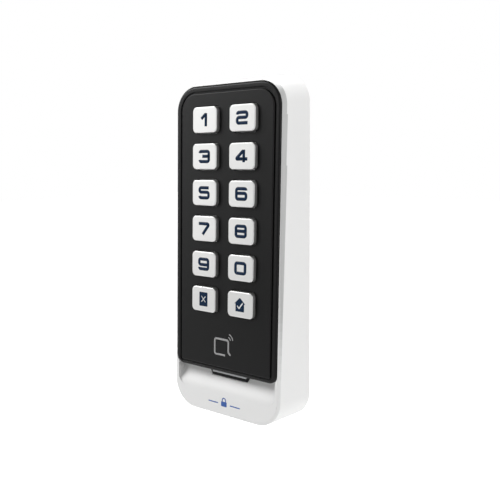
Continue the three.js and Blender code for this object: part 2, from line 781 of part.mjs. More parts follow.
function rearCover() {
  const plate = prism(bodyOutline(END_DRAFT, WALL + SEAT_GAP), -coverBack, -coverFront);
  const pillars = pillarPlaces.map(([x, z]) => (
    barY(x, z, PILLAR_RADIUS, -coverBack - JOIN, -coverFront - PILLAR_LENGTH)
  ));
  const staples = [-1, 1].map((side) => hookStaple(side * HOOK_FROM_CENTRE));
  const pillarHoles = pillarPlaces.map(([x, z]) => barY(
    x,
    z,
    BOARD_SCREW.shank + THREAD_CLEARANCE,
    -pillarHoleEnd,
    -mainBoardBack,
  ));
  const screwHoles = lugPlaces.map(([x, z]) => (
    barY(x, z, COVER_SCREW.shank + SCREW_CLEARANCE, -coverBack + OVERCUT, -coverFront - OVERCUT)
  ));
  const cableHole = barY(
    0, CABLE_Z, GROMMET_NECK + SEAT_GAP, -coverBack + OVERCUT, -coverFront - OVERCUT, ROUND_STEPS,
  );
  const tamperHole = barY(
    TAMPER_X, TAMPER_Z, TAMPER_ROD + SEAT_GAP, -coverBack + OVERCUT, -coverFront - OVERCUT,
  );
  return cut(joined([plate, ...pillars, ...staples]), [
    ...pillarHoles, ...screwHoles, cableHole, tamperHole,
  ]);
}

// A staple on the cover's back whose bar drops behind one of the bracket's hooks.
function hookStaple(x) {
  const low = hookBottom + BRACKET_THICKNESS + SEAT_GAP;
  const z = [low, low + STAPLE_BAR];
  const barBack = -SEAT_GAP;
  const barFront = -HOOK_REACH + BRACKET_THICKNESS + SEAT_GAP;
  const leg = STAPLE_HALF - HOOK_HALF_WIDTH - 2 * SEAT_GAP;
  return joined([
    block([x - STAPLE_HALF, x + STAPLE_HALF], [barFront, barBack], z),
    block([x - STAPLE_HALF, x - STAPLE_HALF + leg], [-coverBack - JOIN, barBack], z),
    block([x + STAPLE_HALF - leg, x + STAPLE_HALF], [-coverBack - JOIN, barBack], z),
  ]);
}

function rearSeal() {
  const outer = prism(bodyOutline(END_DRAFT, WALL + SEAL_SIDE), -sealBack, -sealFront);
  const inner = prism(
    bodyOutline(END_DRAFT, WALL + SEAL_STEP),
    -sealBack + OVERCUT,
    -sealFront - OVERCUT,
  );
  return cut(outer, [inner]);
}

// A pan-head screw along Y. headAt is the depth of the face under its head.
function screwY(size, x, z, headAt, tip) {
  const side = Math.sign(headAt - tip);
  const headTop = headAt + side * size.headHeight;
  const body = joined([
    barY(x, z, size.head, headAt, headTop),
    barY(x, z, size.shank, tip, headAt + side * JOIN, SMALL_ROUND_STEPS),
  ]);
  const drive = barY(x, z, DRIVE_RADIUS, headTop - side * DRIVE_DEPTH, headTop + side * OVERCUT, DRIVE_SIDES);
  return cut(body, [drive]);
}

function lockScrew() {
  const y = -LOCK_SCREW_FROM_WALL;
  const underHead = -BODY_HEIGHT / 2 + LOCK_COUNTERBORE - SEAT_GAP;
  const headEnd = underHead - LOCK_SCREW.headHeight;
  const drive = barZ(0, y, DRIVE_RADIUS, headEnd - OVERCUT, headEnd + DRIVE_DEPTH, DRIVE_SIDES);
  const pin = barZ(0, y, DRIVE_PIN_RADIUS, headEnd + DRIVE_PIN_BASE, headEnd + DRIVE_DEPTH + JOIN);
  const body = joined([
    barZ(0, y, LOCK_SCREW.head, headEnd, underHead),
    barZ(0, y, LOCK_SCREW.shank, underHead - JOIN, underHead + LOCK_SCREW_LENGTH),
  ]);
  return cut(body, [drive]).add(pin);
}

// ---- Wall bracket and cable entry ----

function slotTool(x, z, length, width) {
  const half = length / 2;
  const r = width / 2 - SLOT_FLAT;
  const outline = roundedRect(half, z - width / 2, z + width / 2, r, r, SMALL_CORNER_STEPS)
    .map((p) => new THREE.Vector2(p.x + x, p.y));
  return prism(outline, OVERCUT, -BRACKET_THICKNESS - OVERCUT);
}

function wallBracket() {
  const outline = roundedRect(
    bracketHalfWidth,
    bracketBottom,
    bracketTop,
    BRACKET_CORNER,
    BRACKET_CORNER,
    SMALL_CORNER_STEPS,
  );
  const plate = prism(outline, 0, -BRACKET_THICKNESS);
  const through = [OVERCUT, -BRACKET_THICKNESS - OVERCUT];
  const cableOpening = block(
    [-CABLE_OPENING_HALF.x, CABLE_OPENING_HALF.x],
    through,
    [CABLE_Z - CABLE_OPENING_HALF.y, CABLE_Z + CABLE_OPENING_HALF.y],
  );
  const slots = [-1, 1].map((side) => slotTool(
    0,
    WALL_SLOT_CENTRE + side * WALL_SLOT_SPACING / 2,
    WALL_SLOT_LENGTH,
    WALL_SLOT_WIDTH,
  ));
  const hookXs = [-HOOK_FROM_CENTRE, HOOK_FROM_CENTRE];
  const windows = hookXs.map((x) => block(
    [x - HOOK_WINDOW_HALF, x + HOOK_WINDOW_HALF],
    through,
    [hookBottom, hookBottom + HOOK_HEIGHT + BRACKET_THICKNESS],
  ));
  const hooks = hookXs.map((x) => joined([
    block(
      [x - HOOK_HALF_WIDTH, x + HOOK_HALF_WIDTH],
      [0, -HOOK_REACH],
      [hookBottom - JOIN, hookBottom + BRACKET_THICKNESS],
    ),
    block(
      [x - HOOK_HALF_WIDTH, x + HOOK_HALF_WIDTH],
      [-HOOK_REACH + BRACKET_THICKNESS, -HOOK_REACH],
      [hookBottom - JOIN, hookBottom + HOOK_HEIGHT],
    ),
  ]));
  const flange = block(
    [-FLANGE_HALF, FLANGE_HALF],
    [0, -FLANGE_DEPTH],
    [bracketBottom, bracketBottom + BRACKET_THICKNESS],
  );
  const lockHole = barZ(
    0,
    -LOCK_SCREW_FROM_WALL,
    LOCK_SCREW.shank + THREAD_CLEARANCE,
    bracketBottom - OVERCUT,
    bracketBottom + BRACKET_THICKNESS + OVERCUT,
  );
  const pierced = cut(plate, [cableOpening, ...slots, ...windows]);
  return cut(joined([pierced, ...hooks, flange]), [lockHole]);
}

function cableGrommet() {
  const back = -coverBack + SEAT_GAP;
  const front = -coverFront - SEAT_GAP;
  return turnedY(0, CABLE_Z, [
    [CABLE_BORE, back + GROMMET_FLANGE_THICKNESS],
    [GROMMET_FLANGE, back + GROMMET_FLANGE_THICKNESS],
    [GROMMET_FLANGE, back],
    [GROMMET_NECK, back],
    [GROMMET_NECK, front],
    [GROMMET_FLANGE, front],
    [GROMMET_FLANGE, front - GROMMET_FLANGE_THICKNESS],
    [CABLE_BORE, front - GROMMET_FLANGE_THICKNESS],
    [CABLE_BORE, back + GROMMET_FLANGE_THICKNESS],
  ]);
}

// ---- Main board and the pieces on it ----

function mainBoard() {
  const outline = roundedRect(
    mainBoardHalfWidth, mainBoardBottom, mainBoardTop, BOARD_CORNER, BOARD_CORNER, SMALL_CORNER_STEPS,
  );
  const through = [-mainBoardBack + OVERCUT, -mainBoardFront - OVERCUT];
  const half = GROMMET_FLANGE + 2 * SEAT_GAP;
  const cableCut = block([-half, half], through, [CABLE_Z - half, CABLE_Z + half]);
  const holes = pillarPlaces.map(([x, z]) => (
    barY(x, z, BOARD_SCREW.shank + SCREW_CLEARANCE, ...through)
  ));
  const tamperHole = barY(TAMPER_X, TAMPER_Z, TAMPER_ROD + SEAT_GAP, ...through);
  return cut(prism(outline, -mainBoardBack, -mainBoardFront), [cableCut, ...holes, tamperHole]);
}

// A chip with a row of legs along two sides, standing on the main board.
function chip({ x, z, width, height, thickness, legs }) {
  const base = boardPieceBase;
  const body = block(
    [x - width / 2, x + width / 2],
    [base - CHIP_STANDOFF, base - thickness],
    [z - height / 2, z + height / 2],
  );
  const pitch = height / legs;
  const legHalf = pitch * CHIP_LEG.widthShare / 2;
  const legEnd = width / 2 + CHIP_LEG.reach;
  const rows = Array.from({ length: legs }, (_, i) => {
    const at = z - height / 2 + pitch * (i + 1 / 2);
    return block(
      [x - legEnd, x + legEnd],
      [base, base - CHIP_LEG.thickness],
      [at - legHalf, at + legHalf],
    );
  });
  return joined([body, ...rows]);
}

// A wound inductor: a square foot, the round winding and a square cap.
function powerInductor({ x, z, half, corner, foot, winding, neck, cap }) {
  const base = boardPieceBase;
  const outline = roundedRect(half, -half, half, corner, corner, SMALL_CORNER_STEPS)
    .map((p) => new THREE.Vector2(p.x + x, p.y + z));
  const capBase = base - foot - neck;
  return joined([
    prism(outline, base, base - foot),
    barY(x, z, winding, base - foot + JOIN, capBase - JOIN, ROUND_STEPS),
    prism(outline, capBase, capBase - cap),
  ]);
}

function sounder({ x, z, radius, height, edge, hole, holeDepth }) {
  const base = boardPieceBase;
  const top = base - height;
  return turnedY(x, z, [
    [0, base],
    [radius, base],
    [radius, top + edge],
    [radius - edge, top],
    [hole, top],
    [hole, top + holeDepth],
    [0, top + holeDepth],
  ]);
}

// A terminal block with a mouth for each wire and a screw well in front of it.
function terminalBlock({ x, z, poles, pitch, depth, half }) {
  const base = boardPieceBase;
  const mouth = TERMINAL_MOUTH;
  const screw = TERMINAL_SCREW;
  const halfLength = poles * pitch / 2;
  const body = block([x - halfLength, x + halfLength], [base, base - depth], [z - half, z + half]);
  const tools = [];
  for (let i = 0; i < poles; i++) {
    const at = x - halfLength + pitch * (i + 1 / 2);
    tools.push(block(
      [at - mouth.half, at + mouth.half],
      [base - mouth.floor, base - mouth.roof],
      [z + half - mouth.depth, z + half + OVERCUT],
    ));
    tools.push(barY(
      at,
      z - screw.fromMiddle,
      screw.radius,
      base - depth + screw.depth,
      base - depth - OVERCUT,
    ));
  }
  return cut(body, tools);
}

// The two halves of the board-to-board connector, one on each board.
function connectorSocket() {
  const base = boardPieceBase;
  const inside = SOCKET_HALF.clone().subScalar(SOCKET_WALL);
  const top = base - SOCKET_HEIGHT;
  const body = block(
    [-SOCKET_HALF.x, SOCKET_HALF.x],
    [base, top],
    [CONNECTOR_Z - SOCKET_HALF.y, CONNECTOR_Z + SOCKET_HALF.y],
  );
  const well = block(
    [-inside.x, inside.x],
    [base - SOCKET_FLOOR, top - OVERCUT],
    [CONNECTOR_Z - inside.y, CONNECTOR_Z + inside.y],
  );
  return cut(body, [well]);
}

function connectorPlug() {
  const base = boardBack + SEAT_GAP;
  const tongue = SOCKET_HALF.clone().subScalar(SOCKET_WALL + SEAT_GAP);
  return joined([
    block(
      [-SOCKET_HALF.x, SOCKET_HALF.x],
      [base, base + PLUG_BASE],
      [plugZ - SOCKET_HALF.y, plugZ + SOCKET_HALF.y],
    ),
    block(
      [-tongue.x, tongue.x],
      [base + PLUG_BASE - JOIN, plugEnd],
      [plugZ - tongue.y, plugZ + tongue.y],
    ),
  ]);
}

function tamperSwitch() {
  const base = boardPieceBase;
  const half = TAMPER_BODY.x / 2;
  const body = block(
    [TAMPER_X - half, TAMPER_X + half],
    [base, base - TAMPER_BODY.y],
    [TAMPER_Z - half, TAMPER_Z + half],
  );
  const roof = base - TAMPER_BODY.y + TAMPER_ROOF;
  const bore = barY(TAMPER_X, TAMPER_Z, TAMPER_ROD + SEAT_GAP, base + OVERCUT, roof);
  return cut(body, [bore]);
}

// The plunger's end stands its travel and a gap below the roof of the switch.
function tamperPlunger() {
  const tip = -BRACKET_THICKNESS - SEAT_GAP;
  const end = boardPieceBase - TAMPER_BODY.y + TAMPER_ROOF + TAMPER_TRAVEL + SEAT_GAP;
  return turnedY(TAMPER_X, TAMPER_Z, [
    [0, tip],
    [TAMPER_TIP, tip],
    [TAMPER_ROD, tip - TAMPER_TIP_LENGTH],
    [TAMPER_ROD, end],
    [0, end],
  ], SMALL_ROUND_STEPS);
}

// ---- Materials ----

function finish(color, roughness, metalness = 0) {
  return () => new THREE.MeshStandardMaterial({ color, roughness, metalness });
}

const finishes = {
  whitePaint: finish(0xe9e9e8, 0.42),
  blackPlastic: finish(0x2b2b2c, 0.5),
  blackGasket: finish(0x17171a, 0.8),
  satinMetal: finish(0xdedfe0, 0.35, 0.6),
  silicone: finish(0x8d9094, 0.7),
  circuitBoard: finish(0x1d5a3a, 0.55),
  copper: finish(0xb87333, 0.35, 0.9),
  ferrite: finish(0x3a3836, 0.75),
  clearGuide: finish(0xd9dcdd, 0.25),
  chipBlack: finish(0x1c1c1e, 0.6),
  ledWhite: finish(0xf3efd8, 0.4),
  darkPlastic: finish(0x3b3d40, 0.6),
  terminalGreen: finish(0x2f7a46, 0.5),
  steel: finish(0xb9bcc0, 0.4, 0.85),
  rubber: finish(0x1f1f20, 0.85),
  plungerRed: finish(0xa02c26, 0.5),
};

// ---- Assembly ----

const reader = new THREE.Group();
const frontFrame = new THREE.Group();
frontFrame.position.set(0, -FRONT_DEPTH, 0);
frontFrame.rotation.x = -FRONT_TILT;
reader.add(frontFrame);

function place(parent, name, solid, material) {
  const mesh = new THREE.Mesh(geometryFrom(solid), material());
  mesh.name = name;
  parent.add(mesh);
}

place(reader, 'front_housing', frontHousing(), finishes.whitePaint);
place(frontFrame, 'keypad_bezel', keypadBezel(), finishes.blackPlastic);
place(frontFrame, 'keypad_faceplate', keypadFaceplate(), finishes.blackPlastic);
place(frontFrame, 'panel_gasket', panelGasket(), finishes.blackGasket);

for (const { name, x, z } of keyPlaces) {
  place(frontFrame, `key_${name}`, key(x, z), finishes.satinMetal);
}

place(frontFrame, 'key_mat', keyMat(), finishes.silicone);
place(frontFrame, 'keypad_board', keypadBoard(), finishes.circuitBoard);
place(frontFrame, 'antenna_coil', antennaCoil(), finishes.copper);
place(frontFrame, 'ferrite_sheet', ferriteSheet(), finishes.ferrite);
bossPlaces.forEach(([x, z], i) => {
  const tip = bezelBack + SCREW_TIP_GAP;
  const screw = screwY(BOARD_SCREW, x, z, boardBack + SEAT_GAP, tip);
  place(frontFrame, `keypad_board_screw_${i + 1}`, screw, finishes.steel);
});

place(frontFrame, 'light_holder', lightHolder(), finishes.blackPlastic);
place(frontFrame, 'light_guide', lightGuide(), finishes.clearGuide);
[-1, 0, 1].forEach((side, i) => {
  place(reader, `status_led_${i + 1}`, statusLed(side * LED_SPACING), finishes.ledWhite);
});

place(reader, 'rear_cover', rearCover(), finishes.darkPlastic);
place(reader, 'rear_seal', rearSeal(), finishes.rubber);
lugPlaces.forEach(([x, z], i) => {
  const screw = screwY(COVER_SCREW, x, z, -coverBack + SEAT_GAP, -lugHoleEnd + SCREW_TIP_GAP);
  place(reader, `cover_screw_${i + 1}`, screw, finishes.steel);
});

place(reader, 'main_board', mainBoard(), finishes.circuitBoard);
pillarPlaces.forEach(([x, z], i) => {
  const screw = screwY(BOARD_SCREW, x, z, -mainBoardFront - SEAT_GAP, -pillarHoleEnd - SCREW_TIP_GAP);
  place(reader, `main_board_screw_${i + 1}`, screw, finishes.steel);
});
place(reader, 'controller_chip', chip(CONTROLLER_CHIP), finishes.chipBlack);
place(reader, 'radio_chip', chip(RADIO_CHIP), finishes.chipBlack);
place(reader, 'power_regulator', chip(POWER_REGULATOR), finishes.chipBlack);
place(reader, 'power_inductor', powerInductor(INDUCTOR), finishes.ferrite);
place(reader, 'sounder', sounder(SOUNDER), finishes.chipBlack);
place(reader, 'terminal_block', terminalBlock(TERMINALS), finishes.terminalGreen);
place(reader, 'board_socket', connectorSocket(), finishes.darkPlastic);
place(frontFrame, 'board_plug', connectorPlug(), finishes.darkPlastic);
place(reader, 'tamper_switch', tamperSwitch(), finishes.chipBlack);
place(reader, 'tamper_plunger', tamperPlunger(), finishes.plungerRed);

place(reader, 'cable_grommet', cableGrommet(), finishes.rubber);
place(reader, 'wall_bracket', wallBracket(), finishes.steel);
place(reader, 'lock_screw', lockScrew(), finishes.steel);

export default reader;
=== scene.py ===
"""Looks of a slim keypad access reader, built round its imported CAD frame.

Lengths are metres in the row frame: +Z up, the keys face -Y, and the wall is the plane y = 0.
Front pieces are drawn in the front frame, which leans back with the front plane: x across,
depth in from the front plane, z up the panel.
"""

import json
import math

import bmesh
import bpy
from mathutils import Matrix, Vector


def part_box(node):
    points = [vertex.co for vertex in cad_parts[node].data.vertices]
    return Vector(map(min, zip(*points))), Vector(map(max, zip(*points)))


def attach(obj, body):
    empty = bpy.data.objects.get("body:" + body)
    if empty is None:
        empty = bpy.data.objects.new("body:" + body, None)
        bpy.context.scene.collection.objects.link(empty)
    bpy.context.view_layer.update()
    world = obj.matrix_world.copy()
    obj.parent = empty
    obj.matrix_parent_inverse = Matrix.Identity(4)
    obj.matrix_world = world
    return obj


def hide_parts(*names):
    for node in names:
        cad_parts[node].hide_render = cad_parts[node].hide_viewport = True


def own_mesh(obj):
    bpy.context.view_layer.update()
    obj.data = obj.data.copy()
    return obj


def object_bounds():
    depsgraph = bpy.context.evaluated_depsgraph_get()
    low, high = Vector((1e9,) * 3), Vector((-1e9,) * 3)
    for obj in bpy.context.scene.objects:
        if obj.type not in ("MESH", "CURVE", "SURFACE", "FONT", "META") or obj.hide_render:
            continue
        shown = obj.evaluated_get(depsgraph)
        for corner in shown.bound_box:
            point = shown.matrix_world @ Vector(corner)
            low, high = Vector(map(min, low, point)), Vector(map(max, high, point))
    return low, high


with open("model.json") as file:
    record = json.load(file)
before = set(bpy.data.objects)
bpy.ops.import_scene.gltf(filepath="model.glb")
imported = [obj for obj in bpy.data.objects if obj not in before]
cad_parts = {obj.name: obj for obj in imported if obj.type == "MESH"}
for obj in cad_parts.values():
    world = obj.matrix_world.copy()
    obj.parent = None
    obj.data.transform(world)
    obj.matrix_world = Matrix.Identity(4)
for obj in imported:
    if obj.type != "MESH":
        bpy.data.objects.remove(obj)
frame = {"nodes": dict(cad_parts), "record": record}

bl_info = {
    "name": "Keypad access reader",
    "version": (1, 0, 0),
    "blender": (4, 5, 0),
    "location": "3D View > Sidebar > Reader",
    "description": "Builds the looks of a slim keypad access reader round its CAD frame",
    "category": "Object",
}

CAD_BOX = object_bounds()
MM = 0.001

# Corner facets of the fine meshes
CORNER_STEPS = 20
SMALL_CORNER_STEPS = 10
EDGE_STEPS = 5
SIDE_STEPS = 36
SCOOP_STEPS = 26
BASIN_STEPS = 48
CHAMFER_STEPS = 8
SHARP_ANGLE = math.radians(35)

# Places of the keys, from the top left
KEY_NAMES = ("1", "2", "3", "4", "5", "6", "7", "8", "9", "0", "cancel", "enter")
READER = "reader"

# Mesh attribute that marks faces for painted shade, a darker tone that stands in for shade and dark
# reflections
PAINTED_SHADE_MASK = "shade_mask"

# Corners of a CAD mesh, or of a swept mark, closer than this are one corner
MERGE = 2e-6
MARK_MERGE = 1e-8

# Depth of the grain's relief
RELIEF = 0.05 * MM

# The tapered tab under the panel: half widths at its top and foot, and its height
TAB_TOP = 9.9 * MM
TAB_FOOT = 8.3 * MM
TAB_HEIGHT = 2.8 * MM


# ---- Sizes and colours a user can change ----

def length(name, text, value):
    return bpy.props.FloatProperty(name=name, description=text, default=value, unit="LENGTH", precision=5)


def colour(name, text, value):
    return bpy.props.FloatVectorProperty(
        name=name, description=text, default=value, subtype="COLOR", size=3, min=0.0, max=1.0)


def angle(name, text, degrees):
    value = math.radians(degrees)
    return bpy.props.FloatProperty(name=name, description=text, default=value, subtype="ANGLE")


def share(name, text, value):
    return bpy.props.FloatProperty(name=name, description=text, default=value, min=0.0, max=1.0)


class HousingSizes(bpy.types.PropertyGroup):
    half_width: length("Half width", "Half the housing's width", CAD_BOX[1][0])
    half_height: length("Half height", "Half the housing's height at the wall", CAD_BOX[1][2])
    corner: length("Corner", "Corner radius seen from the front", 10.2 * MM)
    front_depth: length("Front depth", "Depth of the front plane at mid height", 18.4 * MM)
    front_tilt: angle("Front tilt", "Lean of the front plane", 2.4)
    shoulder_drop: length("Shoulder drop", "From the front plane back to the side wall", 1.9 * MM)
    shoulder_tilt: angle("Shoulder tilt", "Lean of the shoulder line", 3.3)
    end_draft: length("End draft", "How far each end slopes out towards the wall", 1.9 * MM)
    wall: length("Wall", "Thickness of the housing's skirt", 2.0 * MM)
    rim: length("Rim", "Width of the rim beside the panel", 1.2 * MM)
    rim_setback: length("Rim setback", "From the front plane back to the rim", 0.35 * MM)
    edge: length("Edge", "Small rounding of the rear edge", 0.35 * MM)
    recess: length("Recess", "Depth of the rear recess", 7.0 * MM)
    chin: length("Chin", "Height of the chin under the panel", 16.8 * MM)
    scoop_depth: length("Scoop depth", "Depth of the scoop under the panel", 4.5 * MM)
    scoop_height: length("Scoop height", "Height of the scoop", 9.0 * MM)
    scoop_side: length("Scoop side", "From the panel's edge in to the scoop's side", 0.6 * MM)
    pocket_depth: length("Pocket depth", "Depth of the ledge that the panel rests on", 3.45 * MM)


class PanelSizes(bpy.types.PropertyGroup):
    gap: length("Gap", "Gap between the panel and the rim", 0.25 * MM)
    corner_top: length("Top corner", "Corner radius at the top of the panel", 8.7 * MM)
    corner_bottom: length("Bottom corner", "Corner radius at the foot of the panel", 3.2 * MM)
    bezel_width: length("Bezel width", "Width of the bezel", 1.8 * MM)
    bezel_foot: length("Bezel foot", "Width of the bezel's foot", 1.1 * MM)
    bezel_edge: length("Bezel edge", "Rounding of the bezel's outer edge", 0.7 * MM)
    bezel_depth: length("Bezel depth", "Depth of the bezel", 2.35 * MM)
    ledge: length("Ledge", "Width of the bezel's ledge", 1.7 * MM)
    ledge_depth: length("Ledge depth", "Depth of the ledge's front", 1.35 * MM)
    groove: length("Groove", "Width of the groove round the faceplate", 0.7 * MM)
    groove_depth: length("Groove depth", "Depth of the groove's floor", 0.42 * MM)
    plate_rise: length("Plate rise", "How far the faceplate stands proud", 0.25 * MM)
    plate_back: length("Plate back", "Depth of the faceplate's back", 1.05 * MM)
    plate_edge: length("Plate edge", "Rounding of the faceplate's edge", 0.38 * MM)


class KeySizes(bpy.types.PropertyGroup):
    width: length("Width", "Width of a key", 11.5 * MM)
    height: length("Height", "Height of a key", 9.35 * MM)
    corner: length("Corner", "Corner radius of a key", 1.7 * MM)
    rise: length("Rise", "How far a key stands proud of the bezel", 1.8 * MM)
    edge_width: length("Edge width", "Width of the rounding round a key's top", 0.38 * MM)
    edge_depth: length("Edge depth", "Depth of the rounding round a key's top", 0.34 * MM)
    column_gap: length("Column gap", "Gap between the two columns", 5.84 * MM)
    row_gap: length("Row gap", "Gap between rows", 3.9 * MM)
    top_margin: length("Top margin", "From the panel's top to the first row", 7.55 * MM)
    clearance: length("Clearance", "Gap between a key and its hole", 0.25 * MM)
    flange: length("Flange", "Width of the flange behind the faceplate", 0.7 * MM)
    flange_depth: length("Flange depth", "Depth of the flange's front", 1.35 * MM)
    back_depth: length("Back depth", "Depth of the key's back", 2.05 * MM)
    print_height: length("Print height", "How far a legend stands on its surface", 0.03 * MM)


class MatSizes(bpy.types.PropertyGroup):
    front: length("Front", "Depth of the silicone sheet's front", 3.65 * MM)
    dome_reach: length("Dome reach", "From a dome's middle to clear of its foot", 4.0 * MM)
    dome_keep: share("Dome keep", "Share of its height that a dome keeps under a pressed key", 0.4)


class FinishColours(bpy.types.PropertyGroup):
    housing: colour("Housing", "White enamel of the housing", (0.80, 0.80, 0.795))
    panel: colour("Panel", "Black of the bezel and faceplate", (0.0029, 0.0030, 0.0032))
    key: colour("Key", "Satin silver of the keys", (0.80, 0.80, 0.79))
    legend: colour("Legend", "Navy of the legends", (0.003, 0.018, 0.05))
    card_mark: colour("Card mark", "Grey of the card symbol", (0.30, 0.30, 0.30))
    light_bar: colour("Light bar", "Grey of the unlit status light", (0.50, 0.51, 0.52))
    emblem: colour("Emblem", "Blue of the small padlock mark", (0.03, 0.10, 0.36))


class StageSettings(bpy.types.PropertyGroup):
    camera_place: bpy.props.FloatVectorProperty(
        name="Camera place", description="Where the camera stands", size=3, subtype="TRANSLATION",
        default=(150.22 * MM, -200.10 * MM, 34.54 * MM))
    camera_azimuth: angle("Camera azimuth", "Angle of the view round +Z", 37.33)
    camera_elevation: angle("Camera elevation", "Angle of the view above the horizon", 8.12)
    camera_roll: angle("Camera roll", "Turn of the camera about its own view", -0.68)
    lens: bpy.props.FloatProperty(name="Lens", description="Focal length in millimetres", default=46.8)
    floor_drop: length("Floor drop", "From the origin down to the floor", 400 * MM)
    world_strength: share("World strength", "Strength of the soft surrounding light", 0.155)


# ---- Mesh helpers ----

def settings():
    return bpy.context.scene.reader_settings


def clamped(value):
    return min(1.0, max(0.0, value))


def front_matrix():
    h = settings().housing
    return Matrix.Translation((0, -h.front_depth, 0)) @ Matrix.Rotation(-h.front_tilt, 4, "X")


def rounded_outline(half, low, high, r_low, r_high, steps=CORNER_STEPS):
    """Points (x, z) of a rounded rectangle, counter-clockwise from the right of the top corner."""
    corners = (
        (half - r_high, high - r_high, r_high),
        (-half + r_high, high - r_high, r_high),
        (-half + r_low, low + r_low, r_low),
        (half - r_low, low + r_low, r_low),
    )
    points = []
    for quarter, (x, z, r) in enumerate(corners):
        for i in range(steps + 1):
            angle = (quarter + i / steps) * math.pi / 2
            points.append((x + r * math.cos(angle), z + r * math.sin(angle)))
    return points


def ring(outline, depth):
    """A ring of points at one depth, or at the depth that a function gives for each height."""
    if callable(depth):
        return [Vector((x, depth(z), z)) for x, z in outline]
    return [Vector((x, depth, z)) for x, z in outline]


def mesh_object(name, bm):
    mesh = bpy.data.meshes.new(name)
    bm.to_mesh(mesh)
    bm.free()
    piece = bpy.data.objects.new(name, mesh)
    bpy.context.scene.collection.objects.link(piece)
    return piece


def loft(name, rings, closed=False):
    """A closed solid through rings of equal length, capped at its ends or closed on itself."""
    bm = bmesh.new()
    rows = [[bm.verts.new(p) for p in points] for points in rings]
    count = len(rows[0])
    pairs = list(zip(rows, rows[1:]))
    if closed:
        pairs.append((rows[-1], rows[0]))
    for low, high in pairs:
        for j in range(count):
            k = (j + 1) % count
            bm.faces.new((low[j], low[k], high[k], high[j]))
    if not closed:
        bm.faces.new(rows[0])
        bm.faces.new(list(reversed(rows[-1])))
    bmesh.ops.remove_doubles(bm, verts=bm.verts, dist=1e-7)
    bmesh.ops.recalc_face_normals(bm, faces=bm.faces)
    return mesh_object(name, bm)


def prism(name, outline, start, end):
    return loft(name, [ring(outline, start), ring(outline, end)])


def block(name, x, y, z):
    corners = [(x[1], z[1]), (x[0], z[1]), (x[0], z[0]), (x[1], z[0])]
    return prism(name, corners, y[0], y[1])


def applied(piece):
    """The piece with its modifiers made part of its mesh."""
    depsgraph = bpy.context.evaluated_depsgraph_get()
    mesh = bpy.data.meshes.new_from_object(piece.evaluated_get(depsgraph))
    old = piece.data
    piece.modifiers.clear()
    piece.data = mesh
    mesh.name = piece.name
    if old.users == 0:
        bpy.data.meshes.remove(old)
    return piece


def drop(*pieces):
    for piece in pieces:
        data = piece.data
        bpy.data.objects.remove(piece)
        if isinstance(data, bpy.types.Mesh) and data.users == 0:
            bpy.data.meshes.remove(data)


def boolean(piece, tools, operation="DIFFERENCE"):
    for tool in tools:
        modifier = piece.modifiers.new("boolean", "BOOLEAN")
        modifier.operation = operation
        modifier.solver = "EXACT"
        modifier.object = tool
    applied(piece)
    drop(*tools)
    return piece


def joined(name, pieces):
    """One object out of several that don't touch."""
    bm = bmesh.new()
    for piece in pieces:
        bm.from_mesh(piece.data)
    drop(*pieces)
    return mesh_object(name, bm)


def edited(piece, *steps):
    """The piece with each step, a function of its bmesh, done to its mesh."""
    bm = bmesh.new()
    bm.from_mesh(piece.data)
    for step in steps:
        step(bm)
    bm.to_mesh(piece.data)
    bm.free()
    return piece


def merge(distance):
    return lambda bm: bmesh.ops.remove_doubles(bm, verts=bm.verts, dist=distance)


def cad_copy(node, name):
    """A copy of a CAD node with its shared corners merged."""
    piece = bpy.data.objects.new(name, frame["nodes"][node].data.copy())
    bpy.context.scene.collection.objects.link(piece)
    return edited(piece, merge(MERGE))


def moved(piece, matrix):
    piece.data.transform(matrix)
    return piece


def in_front(piece):
    """Moves a piece drawn in the front frame to its place."""
    return moved(piece, front_matrix())


def modified(piece, kind, **values):
    """The piece with one modifier set and made part of its mesh."""
    modifier = piece.modifiers.new(kind.lower(), kind)
    for option, value in values.items():
        setattr(modifier, option, value)
    return applied(piece)


def smooth(piece, sharp=SHARP_ANGLE):
    """Smooth shading that keeps real edges crisp and big faces flat."""
    piece.data.shade_smooth()
    piece.data.set_sharp_from_angle(angle=sharp)
    return modified(piece, "WEIGHTED_NORMAL", keep_sharp=True, weight=80)


def bevelled(piece, width, sharp=math.radians(30)):
    return modified(piece, "BEVEL", width=width, segments=3, limit_method="ANGLE", angle_limit=sharp)


def rounded_rings(outline_at, front, width, depth, steps=EDGE_STEPS):
    """Rings of a rounded front edge, from its inner line at depth front out to its side."""
    rings = []
    for i in range(steps + 1):
        turn = i / steps * math.pi / 2
        rings.append(ring(outline_at(width * (1 - math.sin(turn))), front + depth * (1 - math.cos(turn))))
    return rings


def turned(name, profile, place=(0, 0, 0), axis="Y", steps=32, closed=False):
    """A solid turned about an axis through place. The profile gives (radius, distance along it)."""
    rings = []
    for radius, along in profile:
        points = []
        for i in range(steps):
            turn = 2 * math.pi * i / steps
            a, b = radius * math.cos(turn), radius * math.sin(turn)
            points.append(Vector((a, b, along) if axis == "Z" else (a, along, b)) + Vector(place))
        rings.append(points)
    return loft(name, rings, closed)


def paint_shade_on_faces(piece, amount_for):
    """Marks each face with the share of painted shade that amount_for(centre, normal) gives."""
    mesh = piece.data
    mask = mesh.attributes.new(PAINTED_SHADE_MASK, "FLOAT", "FACE")
    for item, face in zip(mask.data, mesh.polygons):
        item.value = amount_for(face.center, face.normal)
    return piece


def finish_piece(piece, body, material, nodes=()):
    """Paints a piece, hangs it on the body it rides, and hides the CAD nodes it stands for."""
    piece.data.materials.clear()
    piece.data.materials.append(material)
    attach(piece, body)
    if nodes:
        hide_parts(*nodes)
    return piece


def reader_piece(piece, material, slot, *nodes):
    """Smooths and finishes a piece that rides the reader's own body."""
    return finish_piece(smooth(piece), READER, material, nodes)


# ---- Node helpers ----

VECTOR = ("Vector", "Vector", None)
BASE_COLOUR = ("Colour", "Color", (0.8, 0.8, 0.8, 1.0))
OUTPUT_SOCKETS = {"Colour": "Color", "Geometry": "Geometry"}


